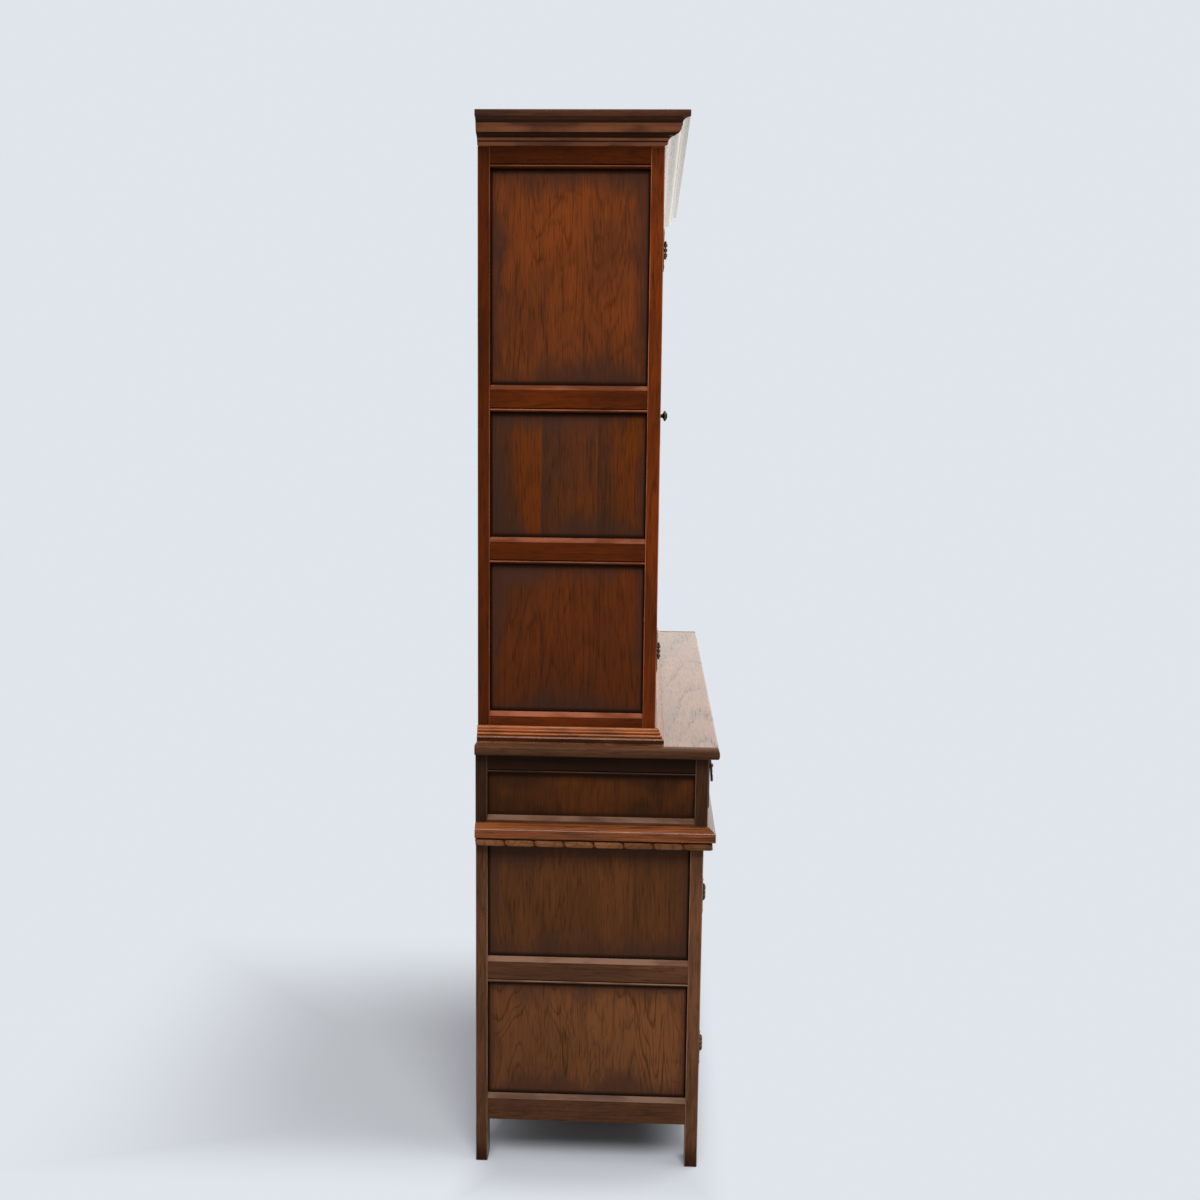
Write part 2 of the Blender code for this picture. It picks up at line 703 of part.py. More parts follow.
def make_cornice(oak):
    """A moulded lid, hollow inside, that sits on the display case: cove, ovolo, cove and a plain top fillet."""
    p, h = CORNICE_PROJECTION, CORNICE_HEIGHT
    profile = [(-CORNICE_WALL, h - CORNICE_BOARD), (-CORNICE_WALL, 0), (0, 0), (0.09 * p, 0.03 * h)]
    profile += quarter((0.10 * p, 0.06 * h), (0.37 * p, 0.28 * h), hollow=True)
    profile += quarter((0.41 * p, 0.31 * h), (0.65 * p, 0.54 * h), hollow=False)
    profile += [(0.68 * p, 0.55 * h)]
    profile += quarter((0.68 * p, 0.63 * h), (0.95 * p, 0.78 * h), hollow=True)
    profile += [(p, 0.81 * h), (p, h)]
    rings = []
    for i, (out, up) in enumerate(profile):
        back = BACK - CORNICE_WALL if i < 2 else BACK
        rings.append(rectangle(UPPER.half + out, UPPER.front - out, back, CORNICE_Z + up))
    part("cornice", loft(rings), oak)


# Doors, knobs and hinges
def door_outline(opening):
    return Opening(
        opening.x0 + DOOR_GAP,
        opening.x1 - DOOR_GAP,
        opening.z0 + DOOR_GAP,
        opening.z1 - DOOR_GAP,
    )


def door_axis(case, sign):
    return Vector((sign * (case.half - POST_WIDTH - DOOR_GAP / 2), case.front - FIT - HINGE_BARREL_RADIUS, 0))


def make_door(prefix, case, side, opening, infill, knob_height, hinge_insets, oak, infill_finish, brass):
    """A framed door with its infill in a rebate, a knob on its meeting stile, and two surface hinges."""
    sign = SIDES[side]
    axis = door_axis(case, sign)
    outline = door_outline(opening)
    swing = joint_empty(f"{prefix}_{side}_door_swing", (axis.x, axis.y, (outline.z0 + outline.z1) / 2))
    rebate = DOOR_STILE - REBATE_WIDTH
    profile = [(0, DOOR_THICK), (0, 0), (DOOR_STILE - DOOR_EDGE_ROUND, 0)]
    profile += [(DOOR_STILE, DOOR_EDGE_ROUND), (DOOR_STILE, DOOR_THICK - REBATE_DEPTH)]
    profile += [(rebate, DOOR_THICK - REBATE_DEPTH), (rebate, DOOR_THICK)]
    part(f"{prefix}_{side}_door_frame", frame_ring(outline, case.front, profile), oak, swing)
    infill_name, infill_thick = infill
    y0 = case.front + DOOR_THICK - REBATE_DEPTH + FIT
    inset = rebate + FIT
    pane = box(
        outline.x0 + inset,
        outline.x1 - inset,
        y0,
        y0 + infill_thick,
        outline.z0 + inset,
        outline.z1 - inset,
    )
    part(f"{prefix}_{side}_door_{infill_name}", pane, infill_finish, swing)
    knob_x = outline.x0 + DOOR_STILE / 2 if sign > 0 else outline.x1 - DOOR_STILE / 2
    make_knob(f"{prefix}_{side}_knob", Vector((knob_x, case.front - FIT, outline.z0 + knob_height)), swing, brass)
    low_inset, top_inset = hinge_insets
    for level, z in (("lower", outline.z0 + low_inset), ("upper", outline.z1 - top_inset)):
        make_hinge(f"{prefix}_{side}_{level}_hinge", axis, sign, case.front - FIT, z, brass)


def make_knob(name, foot, swing, brass):
    profile = (
        (0, 0),
        (KNOB_ROSE_RADIUS, 0),
        (KNOB_ROSE_RADIUS, 0.08 * KNOB_LENGTH),
        (KNOB_NECK_RADIUS, 0.16 * KNOB_LENGTH),
        (KNOB_NECK_RADIUS, 0.48 * KNOB_LENGTH),
        (KNOB_HEAD_RADIUS, 0.62 * KNOB_LENGTH),
        (KNOB_HEAD_RADIUS, 0.74 * KNOB_LENGTH),
        (0.72 * KNOB_HEAD_RADIUS, 0.93 * KNOB_LENGTH),
        (0, KNOB_LENGTH),
    )
    part(name, turned(profile, foot, Vector((0, -1, 0))), brass, swing, 40)


def make_hinge(name, axis, sign, leaf_y, z, brass):
    """The post's leaf with its barrel and pin. The leaf spreads from the barrel like a butterfly's wing."""
    half_barrel = HINGE_BARREL_HEIGHT / 2
    end = half_barrel + HINGE_FINIAL
    r = HINGE_BARREL_RADIUS
    barrel = turned(
        ((0, 0), (r * 0.5, HINGE_FINIAL * 0.3), (r * 0.4, HINGE_FINIAL * 0.8), (r, HINGE_FINIAL))
        + ((r, HINGE_FINIAL + HINGE_BARREL_HEIGHT), (r * 0.4, 2 * end - HINGE_FINIAL * 0.8))
        + ((r * 0.5, 2 * end - HINGE_FINIAL * 0.3), (0, 2 * end)),
        Vector((axis.x, axis.y, z - end)),
        Vector((0, 0, 1)),
    )
    tall, narrow = HINGE_LEAF_HEIGHT / 2, HINGE_LEAF_WAIST / 2
    start = r * 0.3
    outline = (
        (start, -half_barrel * 0.9),
        (HINGE_LEAF_WIDTH * 0.3, -narrow),
        (HINGE_LEAF_WIDTH * 0.55, -tall),
        (HINGE_LEAF_WIDTH, -tall * 0.83),
        (HINGE_LEAF_WIDTH, tall * 0.83),
        (HINGE_LEAF_WIDTH * 0.55, tall),
        (HINGE_LEAF_WIDTH * 0.3, narrow),
        (start, half_barrel * 0.9),
    )
    leaf = prism([(axis.x + sign * u, leaf_y, z + w) for u, w in outline], (0, -HINGE_LEAF_THICK, 0))
    part(name, united(leaf, barrel), brass, None, 40)


def main():
    clear_scene()
    oak = finish("dark_oak", (0.105, 0.042, 0.018), 0.42)
    brass = finish("aged_brass", (0.16, 0.11, 0.05), 0.40, metallic=0.9)
    glass = finish("clear_glass", (0.93, 0.96, 0.95), 0.02, transmission=1.0)
    make_base(oak)
    make_waist_board(oak)
    make_drawer_case(oak)
    make_top(oak)
    make_display_case(oak)
    make_plinth_moulding(oak)
    make_cornice(oak)
    for side in SIDES:
        make_drawer(side, oak, brass)
        pane = ("glass", GLASS_THICK)
        panel = ("panel", DOOR_PANEL_THICK)
        opening = upper_openings()[side]
        hinges = (UPPER_DOOR_LOW_HINGE, UPPER_DOOR_TOP_HINGE)
        make_door("upper", UPPER, side, opening, pane, UPPER_KNOB_HEIGHT, hinges, oak, glass, brass)
        opening = base_openings()[side]
        hinges = (BASE_DOOR_LOW_HINGE, BASE_DOOR_TOP_HINGE)
        make_door("base", BASE, side, opening, panel, BASE_KNOB_HEIGHT, hinges, oak, oak, brass)


main()
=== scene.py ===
"""Looks of the display sideboard: oak joinery board by board, brass fittings, glass, light and camera."""

import bisect
import math
import random
from collections import namedtuple

import bmesh
import bpy
from mathutils import Matrix, Quaternion, Vector


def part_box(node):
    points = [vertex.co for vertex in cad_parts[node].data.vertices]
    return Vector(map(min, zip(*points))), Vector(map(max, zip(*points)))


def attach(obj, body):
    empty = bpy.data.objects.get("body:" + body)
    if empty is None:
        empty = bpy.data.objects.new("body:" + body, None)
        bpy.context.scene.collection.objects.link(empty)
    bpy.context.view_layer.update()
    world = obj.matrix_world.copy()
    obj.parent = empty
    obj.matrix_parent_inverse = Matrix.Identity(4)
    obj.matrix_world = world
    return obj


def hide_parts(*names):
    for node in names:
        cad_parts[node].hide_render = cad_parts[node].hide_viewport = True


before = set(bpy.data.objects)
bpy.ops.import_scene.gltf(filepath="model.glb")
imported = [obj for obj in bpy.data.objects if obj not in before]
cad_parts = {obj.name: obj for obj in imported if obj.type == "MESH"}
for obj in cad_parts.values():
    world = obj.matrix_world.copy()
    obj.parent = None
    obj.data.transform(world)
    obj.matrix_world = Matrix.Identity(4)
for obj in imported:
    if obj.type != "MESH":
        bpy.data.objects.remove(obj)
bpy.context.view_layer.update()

# Axes and sides
X, Y, Z = 0, 1, 2
AXES = (Vector((1, 0, 0)), Vector((0, 1, 0)), Vector((0, 0, 1)))
FORWARD = Vector((0, -1, 0))
UPWARD = Vector((0, 0, 1))
SIDES = {"left": -1, "right": 1}

# Joinery sizes that the frame's boxes don't give, in metres
POST_WIDTH = 0.045
POST_DEPTH = 0.024
BACK_POST_DEPTH = 0.022
RAIL_THICK = 0.024
PANEL_RECESS = 0.009
RAIL_STEP = 0.0005
CHAMFER_HEIGHT = 0.0078
BEAD_HEIGHT = 0.0058
DOOR_GAP = 0.0015
FIT = 0.0003
MUNTIN_WIDTH = 0.050
DOOR_STILE = 0.048
DOOR_THICK = 0.020
REBATE_WIDTH = 0.008
REBATE_DEPTH = 0.012
STICKING = 0.006
FIELD_RISE = 0.0045
CORNICE_WALL = 0.030
CORNICE_LID = 0.018
PLINTH_ROUND = 0.0026
TOP_LIPPING = 0.022

# Waist board and the carved strip under it
WAIST_THICK = 0.0217
WAIST_FACE = 0.0122
WAIST_LIP = 0.0045
WAIST_BORDER = 0.060
STRIP_NECK = 0.008
STRIP_GROOVE = 0.003
STRIP_REACH = 0.016
STRIP_PITCH = 0.0495
STRIP_SEED = 7

# Drawer case and drawers
CASE_LOW_RAIL = 0.0127
CASE_TOP_RAIL = 0.0352
CASE_PANEL_THICK = 0.008
CASE_BACK_THICK = 0.006
DRAWER_DIVIDER = 0.040
DRAWER_LIP = 0.005
DRAWER_WALL = 0.010
DRAWER_FLOOR = 0.006
RUNNER_WIDTH = 0.035
RUNNER_TUCK = 0.003

# Hinges. The upper ones show their pins between short knuckles, the lower ones are close
HINGE_RADIUS = 0.0035
HINGE_BARREL = 0.023
HINGE_FINIAL = 0.005
HINGE_PITCH = 0.0085
KNUCKLES = {"upper": 0.0062, "base": 0.0083}
KNUCKLE_EASE = 0.0009
LEAF_THICK = 0.0012
LEAF_EASE = 0.0003

# Drawer handles and nails
PLATE_THICK = 0.0015
PLATE_EASE = 0.0005
PLATE_STEPS = 56
EAR_RADIUS = 0.0045
EAR_WIDTH = 0.006
EAR_PLACE = 0.030
BAIL_RADIUS = 0.0022
BAIL_DROP = 0.037
BAIL_LEAN = 0.0025
NAIL_RADIUS = 0.0017
NAIL_HEIGHT = 0.0009
NAIL_SEED = 3

# Share of its drop where a bail starts to curve
BAIL_SPRING = 0.45

# Rounding of sawn edges
EASE = 0.0009
POST_EASE = 0.0014
GLUE_EASE = 0.0003
BACK_JOINT = 0.0016
EASED_ANGLE = math.radians(30)
SMOOTH_ANGLE = math.radians(38)

# Marks on faces: arrises rubbed pale with a painted highlight, and hollows given painted shade
RUBBED_AND_LIT, PLAIN, PAINTED_SHADE = 1, 0, -1

Case = namedtuple("Case", "half front bottom top")


def corners(node):
    low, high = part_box(node)
    return Vector(low), Vector(high)


def case_of(node):
    low, high = corners(node)
    return Case(high.x, low.y, low.z, high.z)


BASE = case_of("base_face_frame")
DRAWERS = case_of("drawer_case")
UPPER = case_of("upper_face_frame")
BACK = corners("base_left_end_frame")[1].y
BACK_POST_FACE = BACK - BACK_POST_DEPTH
FOOT_CLEARANCE = corners("base_back_panel")[0].z


# Node trees
class Wire:
    """An output of a node that sums can be written with."""

    def __init__(self, graph, socket):
        self.graph = graph
        self.socket = socket

    def __add__(self, other):
        return self.graph.math("ADD", self, other)

    def __sub__(self, other):
        return self.graph.math("SUBTRACT", self, other)

    def __mul__(self, other):
        return self.graph.math("MULTIPLY", self, other)

    def __truediv__(self, other):
        return self.graph.math("DIVIDE", self, other)

    def __abs__(self):
        return self.graph.math("ABSOLUTE", self)

    def ease(self, low, high, start=0.0, end=1.0):
        """A smooth step from start to end while this goes from low to high."""
        inputs = {"Value": self, "From Min": low, "From Max": high, "To Min": start, "To Max": end}
        return self.graph.wire("ShaderNodeMapRange", "Result", inputs, interpolation_type="SMOOTHSTEP")


class Graph:
    """Adds nodes to one tree and joins them. An input takes a wire or a plain value."""

    def __init__(self, tree):
        self.tree = tree

    def put(self, socket, value):
        if isinstance(value, Wire):
            self.tree.links.new(value.socket, socket)
        else:
            socket.default_value = value

    def fill(self, node, inputs):
        """Sets inputs of a node, by name or by number."""
        for key, value in inputs.items():
            self.put(node.inputs[key], value)

    def node(self, kind, inputs=None, **settings):
        node = self.tree.nodes.new(kind)
        for name, value in settings.items():
            setattr(node, name, value)
        self.fill(node, inputs or {})
        return node

    def wire(self, kind, output, inputs=None, **settings):
        """One output of a new node, by name or by number."""
        return Wire(self, self.node(kind, inputs, **settings).outputs[output])

    def shape(self, kind, geometry, inputs=None, **settings):
        """The geometry that a new node makes of some geometry."""
        inputs = {"Geometry": geometry, **(inputs or {})}
        return self.wire(f"GeometryNode{kind}", "Geometry", inputs, **settings)

    def math(self, operation, *values, clamp=False):
        inputs = dict(enumerate(values))
        return self.wire("ShaderNodeMath", 0, inputs, operation=operation, use_clamp=clamp)

    def larger(self, first, second):
        return self.math("MAXIMUM", first, second)

    def vector(self, operation, *values):
        return self.wire("ShaderNodeVectorMath", 0, dict(enumerate(values)), operation=operation)

    def scaled(self, vector, factor):
        return self.wire("ShaderNodeVectorMath", 0, {0: vector, "Scale": factor}, operation="SCALE")

    def split(self, vector):
        node = self.node("ShaderNodeSeparateXYZ", {0: vector})
        return [Wire(self, socket) for socket in node.outputs]

    def join(self, *values):
        return self.wire("ShaderNodeCombineXYZ", 0, dict(enumerate(values)))

    def place(self, output="Object"):
        return self.wire("ShaderNodeTexCoord", output)

    def attribute(self, name, output="Vector"):
        return self.wire("ShaderNodeAttribute", output, attribute_name=name)

    def noise(self, vector, scale=1.0, detail=2.0, roughness=0.5):
        inputs = {"Vector": vector, "Scale": scale, "Detail": detail, "Roughness": roughness}
        return self.wire("ShaderNodeTexNoise", "Fac", inputs)

    def mix(self, factor, first, second):
        return self.wire("ShaderNodeMix", 2, {0: factor, 6: first, 7: second}, data_type="RGBA")


FLOAT, COLOUR, VECTOR, WHOLE = "NodeSocketFloat", "NodeSocketColor", "NodeSocketVector", "NodeSocketInt"
GEOMETRY, MATERIAL = "NodeSocketGeometry", "NodeSocketMaterial"


def new_group(name, kind, inputs, outputs):
    """A node group with named sockets. Returns its graph, its inputs by name and its output sockets."""
    tree = bpy.data.node_groups.new(name, kind)
    for label, socket_type, value in inputs:
        socket = tree.interface.new_socket(label, in_out="INPUT", socket_type=socket_type)
        if value is not None:
            socket.default_value = value
    for label, socket_type in outputs:
        tree.interface.new_socket(label, in_out="OUTPUT", socket_type=socket_type)
    graph = Graph(tree)
    given = {socket.name: Wire(graph, socket) for socket in graph.node("NodeGroupInput").outputs}
    return graph, given, graph.node("NodeGroupOutput")


def oak_group():
    """Stained oak on each board's own grain, with rings, pores, clouds, painted shade along borders and in
    hollows, and arrises rubbed pale with a painted highlight.
    """
    graph, given, result = new_group(
        "stained_oak",
        "ShaderNodeTree",
        (
            ("Light", COLOUR, (0.15, 0.05, 0.015, 1)),
            ("Deep", COLOUR, (0.09, 0.03, 0.01, 1)),
            ("Line", COLOUR, (0.03, 0.01, 0.005, 1)),
            ("Ring Spacing", FLOAT, 0.007),
            ("Ring Strength", FLOAT, 0.6),
            ("Arch", FLOAT, 0.16),
            ("Flame", FLOAT, 0.0),
            ("Hair", FLOAT, 0.3),
            ("Lean", FLOAT, 0.0),
            ("Border", COLOUR, (0.045, 0.019, 0.012, 1)),
            ("Shade", FLOAT, 0.0),
            ("Shade Width", FLOAT, 0.03),
            ("Wear", FLOAT, 0.4),
            ("Rub", FLOAT, 1.5),
            ("Bloom", FLOAT, 0.0),
            ("Damp", FLOAT, 0.0),
        ),
        (("Color", COLOUR), ("Roughness", FLOAT), ("Height", FLOAT), ("Coat", FLOAT)),
    )
    line = given["Line"]
    grain = graph.attribute("grain")
    chance = graph.attribute("board")
    across, through, along = graph.split(grain)
    first, second, third = graph.split(chance)
    shift = graph.scaled(chance, 37.0)

    def stretched(fine, coarse, detail=2.0, roughness=0.5, deep=None):
        """Noise drawn out along the grain, different on each board."""
        scale = (fine, fine if deep is None else deep, coarse)
        place = graph.vector("ADD", graph.vector("MULTIPLY", grain, scale), shift)
        return graph.noise(place, detail=detail, roughness=roughness)

    # Rings round a pith that lies behind the face and leaves it along the board
    wander = stretched(9.0, 2.2) - 0.5
    ripple = stretched(45.0, 9.0) - 0.5
    sideways = across + wander * 0.05 + (first - 0.5) * 0.07
    slope = given["Arch"] * (second * 0.7 + 0.65)
    depth = along * slope + 0.085 + through
    radius = graph.math("SQRT", sideways * sideways + depth * depth) + ripple * 0.007
    tongue = abs(stretched(17.0, 2.5, 1.0, deep=0.0) - 0.5)
    radius = radius + tongue * given["Flame"]
    bunching = graph.noise(graph.join(radius * 28.0, first, second)) - 0.5
    radius = radius + bunching * 0.05
    turn = graph.math("FRACT", radius / given["Ring Spacing"])
    ring = graph.larger(turn.ease(0.0, 0.30, 1.0, 0.0), turn.ease(0.92, 1.0))
    patchy = stretched(16.0, 3.0, 1.0).ease(0.3, 0.65, 0.25, 1.0)
    ring = ring * patchy * given["Ring Strength"]

    # Pores and fibres
    pores = stretched(700.0, 26.0, 1.0).ease(0.53, 0.68) * (ring * 0.7 + 0.3)
    fibre = stretched(260.0, 6.0, 3.0, 0.6)
    streak = stretched(60.0, 3.0, 3.0, 0.6)
    cloud = stretched(9.0, 5.0, 4.0, 0.6)

    # Hair lines that run with the grain and close round its swirls
    level = graph.math("FRACT", stretched(10.0, 1.3, 1.0) * 24.0 + fibre * 1.2)
    hair = graph.larger(level.ease(0.0, 0.32, 1.0, 0.0), level.ease(0.93, 1.0))
    broken = stretched(40.0, 7.0).ease(0.38, 0.62, 0.15, 1.0)
    hair = hair * broken * given["Hair"]

    # Colour
    patch = cloud * 1.1 + (fibre * 0.5 + streak * 0.4 - 0.5) + across * given["Lean"]
    colour = graph.mix(patch.ease(0.2, 0.8), given["Deep"], given["Light"])
    tint = graph.larger(third * 0.26 + 0.87, 0.12)
    colour = graph.scaled(colour, tint)
    vein = stretched(330.0, 24.0).ease(0.52, 0.70, 0.0, 0.4)
    for stroke in (ring * 0.75, hair, vein, pores * 0.6):
        colour = graph.mix(stroke, colour, line)

    # Painted shade along a panel's border, with a darker stain there too
    place = graph.vector("ABSOLUTE", graph.attribute("place"))
    border = graph.vector("SUBTRACT", graph.attribute("half"), place)
    border_across, _, border_along = graph.split(border)
    corner = graph.math("MINIMUM", border_across, border_along * 0.55)
    nearest = (cloud - 0.5) * 0.09 + corner
    shade = nearest.ease(0.0, given["Shade Width"], 1.0, 0.0) * given["Shade"]
    colour = graph.mix(shade, colour, given["Border"])
    # A narrow painted shadow in the corner where a panel meets its frame
    wax = corner.ease(0.001, 0.006, 1.25, 0.0) * given["Shade"]
    colour = graph.mix(wax, colour, graph.scaled(line, 0.6))

    # Darker towards the bottom, on the feet near the floor
    height = graph.split(graph.place())[Z] + (streak - 0.5) * 0.03
    damp = height.ease(0.004, 0.055, 1.0, 0.0) * given["Damp"]
    colour = graph.mix(damp, colour, line)

    # Painted shade in quirks and hollows, in the dark line colour
    mark = graph.attribute("arris", "Fac")
    colour = graph.mix(graph.math("MULTIPLY", mark, -0.8, clamp=True), colour, line)

    # Arrises and chamfers rubbed paler, with a painted highlight and a greyish painted sheen
    worn_and_lit = stretched(30.0, 12.0).ease(0.35, 0.6, 0.3, 1.0)
    arris = graph.larger(mark, 0.0) * given["Wear"] * worn_and_lit
    bloom = graph.scaled((1.0, 0.8, 0.65), given["Bloom"])
    bare_and_highlight = graph.vector("ADD", graph.scaled(given["Light"], given["Rub"]), bloom)
    colour = graph.mix(arris, colour, graph.scaled(bare_and_highlight, tint))

    rough = pores * 0.16 + cloud * 0.12 + 0.32
    relief = fibre - ring * 0.3 - pores * 0.7
    coat = pores * -0.5 + 0.95
    graph.fill(result, {"Color": colour, "Roughness": rough, "Height": relief, "Coat": coat})
    return graph.tree


OAK_GROUP = oak_group()


def new_material(name):
    material = bpy.data.materials.new(name)
    material.use_nodes = True
    return material, Graph(material.node_tree), material.node_tree.nodes["Principled BSDF"]


def bumped(graph, shader, height, strength, distance):
    inputs = {"Strength": strength, "Distance": distance, "Height": height}
    graph.put(shader.inputs["Normal"], graph.wire("ShaderNodeBump", "Normal", inputs))


# The dark of rings and pores, also the colour of painted shade in hollows and corners
LINE = (0.014, 0.005, 0.002)


def oak(name, light, deep, line=LINE, wax=1.09, polish=0.20, dusty=False, **values):
    """A stained and waxed oak in linear colours. The other values go to the group's inputs by name."""
    material, graph, shader = new_material(name)
    figure = graph.node("ShaderNodeGroup", node_tree=OAK_GROUP)
    for label, colour in (("Light", light), ("Deep", deep), ("Line", line)):
        figure.inputs[label].default_value = (*colour, 1.0)
    for label, value in values.items():
        figure.inputs[label.replace("_", " ").title()].default_value = value
    colour, rough, height, coat = [Wire(graph, socket) for socket in figure.outputs]
    if dusty:
        # Dust dulls the wax on the faces that look up
        up = graph.split(graph.wire("ShaderNodeNewGeometry", "Normal"))[Z]
        coat = coat * up.ease(0.5, 0.9, 1.0, 0.1)
    graph.fill(shader, {"Base Color": colour, "Roughness": rough, "Coat Weight": coat})
    graph.fill(shader, {"Coat Roughness": polish, "Coat IOR": wax, "Specular IOR Level": 0.01})
    bumped(graph, shader, height, strength=0.22, distance=0.0005)
    return material


def aged_brass():
    """Brass gone dark brown, rubbed bright on its high places."""
    material, graph, shader = new_material("aged_brass")
    place = graph.place()
    cloud = graph.noise(place, 160.0, 4.0, 0.6)
    speck = graph.noise(place, 900.0)
    rubbed = graph.wire("ShaderNodeNewGeometry", "Pointiness").ease(0.50, 0.58)
    bright = graph.larger(rubbed * 0.5, cloud.ease(0.55, 0.8, 0.0, 0.25))
    colour = graph.mix(bright, (0.014, 0.011, 0.008, 1), (0.20, 0.13, 0.065, 1))
    colour = graph.mix(speck.ease(0.58, 0.72, 0.0, 0.6), colour, (0.012, 0.009, 0.007, 1))
    rough = cloud.ease(0.3, 0.7, 0.5, 0.3)
    graph.fill(shader, {"Base Color": colour, "Roughness": rough, "Metallic": 1.0})
    bumped(graph, shader, cloud + speck, strength=0.2, distance=0.0003)
    return material


def window_glass():
    """Drawn sheet glass, very slightly uneven."""
    material, graph, shader = new_material("clear_glass")
    place = graph.place()
    wave = graph.noise(graph.vector("MULTIPLY", place, (5.0, 5.0, 1.6)), detail=1.0)
    rough = graph.noise(place, 14.0, 3.0).ease(0.3, 0.8, 0.0, 0.02)
    graph.fill(shader, {"Base Color": (0.96, 0.98, 0.97, 1), "Roughness": rough})
    graph.fill(shader, {"Transmission Weight": 1.0, "IOR": 1.15})
    bumped(graph, shader, wave, strength=0.05, distance=0.001)
    return material


# Stains: orange brown on the upper case, duller brown on the lower, and panels darker at their borders with
# stain and painted shade
FRAME_OAK = oak(
    "frame_oak", (0.150, 0.027, 0.003), (0.080, 0.016, 0.003),
    ring_spacing=0.006, ring_strength=0.14, wear=0.7, rub=2.1, bloom=0.10,
)
LOWER_FRAME_OAK = oak(
    "lower_frame_oak", (0.118, 0.047, 0.021), (0.062, 0.027, 0.014),
    wax=1.07, ring_spacing=0.006, ring_strength=0.2, wear=0.6, bloom=0.11, damp=0.75,
)
PANEL_OAK = oak(
    "panel_oak", (0.192, 0.043, 0.008), (0.106, 0.028, 0.009),
    ring_spacing=0.016, ring_strength=0.25, hair=0.40, shade=0.75, shade_width=0.034,
)
MIDDLE_PANEL_OAK = oak(
    "middle_panel_oak", (0.142, 0.031, 0.004), (0.058, 0.022, 0.010),
    ring_spacing=0.016, ring_strength=0.2, hair=0.36, lean=-4.0, shade=0.75,
)
DRAWER_PANEL_OAK = oak(
    "drawer_panel_oak", (0.092, 0.026, 0.005), (0.050, 0.016, 0.005),
    ring_spacing=0.016, ring_strength=0.2, border=(0.018, 0.008, 0.004, 1.0), shade=0.45, shade_width=0.014,
)
FIGURED_OAK = oak(
    "figured_panel_oak", (0.128, 0.045, 0.015), (0.098, 0.036, 0.013),
    ring_spacing=0.013, ring_strength=0.65, arch=0.3, flame=0.15, hair=0.15, shade=0.75,
)
LOWER_PANEL_OAK = oak(
    "lower_panel_oak", (0.136, 0.046, 0.014), (0.088, 0.032, 0.011),
    ring_spacing=0.016, ring_strength=0.18, arch=0.1, hair=0.38, shade=0.75,
)
CORNICE_STAIN = {
    "light": (0.088, 0.028, 0.011),
    "deep": (0.036, 0.015, 0.009),
    "polish": 0.10,
    "dusty": True,
    "ring_spacing": 0.004,
    "ring_strength": 0.4,
    "wear": 0.9,
    "rub": 2.6,
}
CORNICE_OAK = oak("cornice_oak", wax=1.16, **CORNICE_STAIN)
CORNICE_FRONT_OAK = oak("cornice_front_oak", wax=1.5, **CORNICE_STAIN)
MOULDING_OAK = oak(
    "moulding_oak", (0.245, 0.066, 0.016), (0.055, 0.017, 0.005),
    wax=1.24, polish=0.14, ring_spacing=0.004, ring_strength=0.9, arch=0.01, hair=0.5, wear=0.7, rub=1.3,
)
CARVED_OAK = oak("carved_oak", (0.22, 0.082, 0.032), (0.09, 0.034, 0.013), wax=1.12, ring_spacing=0.003)
TOP_OAK = oak(
    "top_oak", (0.200, 0.072, 0.027), (0.115, 0.041, 0.016),
    wax=1.56, ring_spacing=0.022, ring_strength=0.8, arch=0.06,
)
INSIDE_OAK = oak(
    "inside_oak", (0.160, 0.056, 0.018), (0.095, 0.034, 0.012),
    ring_spacing=0.012, ring_strength=0.28, arch=0.05,
)
DRAWER_OAK = oak(
    "drawer_oak", (0.42, 0.27, 0.14), (0.33, 0.20, 0.10),
    line=(0.16, 0.09, 0.045), ring_spacing=0.005, ring_strength=0.4,
)
BRASS = aged_brass()
GLASS = window_glass()

# Slots of the finishes that aren't dark oak
SLOTS = {DRAWER_OAK: "drawer_oak", BRASS: "aged_brass"}


# Shapes
def between(start, end, shares):
    """Places at some shares of the way from start to end."""
    return [start + (end - start) * share for share in shares]


def scaled(profile, across, along):
    """An outline given in shares, in metres."""
    return [(a * across, b * along) for a, b in profile]


def arc(start, end, hollow, steps=7):
    """A quarter curve between two points of an outline: a cove if hollow, else an ovolo."""
    points = []
    for step in range(steps + 1):
        turn = math.pi / 2 * step / steps
        across, up = (1 - math.cos(turn), math.sin(turn)) if hollow else (math.sin(turn), 1 - math.cos(turn))
        points.append((start[0] + (end[0] - start[0]) * across, start[1] + (end[1] - start[1]) * up))
    return points


def half_round(middle, out, up, steps):
    """Half an oval that swells outwards, from its foot to its top."""
    turns = [math.pi * (step / steps - 0.5) for step in range(steps + 1)]
    return [(middle[0] + out * math.cos(turn), middle[1] + up * math.sin(turn)) for turn in turns]


def inset_rings(low, high, edge):
    """Rectangles that face the front, from (inset, depth) pairs."""
    rings = []
    for inset, y in edge:
        x0, x1, z0, z1 = low.x + inset, high.x - inset, low.z + inset, high.z - inset
        rings.append([(x0, y, z0), (x1, y, z0), (x1, y, z1), (x0, y, z1)])
    return rings


def flagged():
    """A new shape whose faces can be marked."""
    bm = bmesh.new()
    bm.faces.layers.int.new("arris")
    return bm


def mark(bm, rule):
    """Marks each face by a rule of its normal's rise and its height."""
    flag = bm.faces.layers.int["arris"]
    for face in bm.faces:
        face[flag] = rule(face.normal.z, face.calc_center_median().z)


def cut(bm, axis, place):
    """Cuts a shape through, square to an axis."""
    everything = bm.verts[:] + bm.edges[:] + bm.faces[:]
    bmesh.ops.bisect_plane(bm, geom=everything, plane_co=AXES[axis] * place, plane_no=AXES[axis])


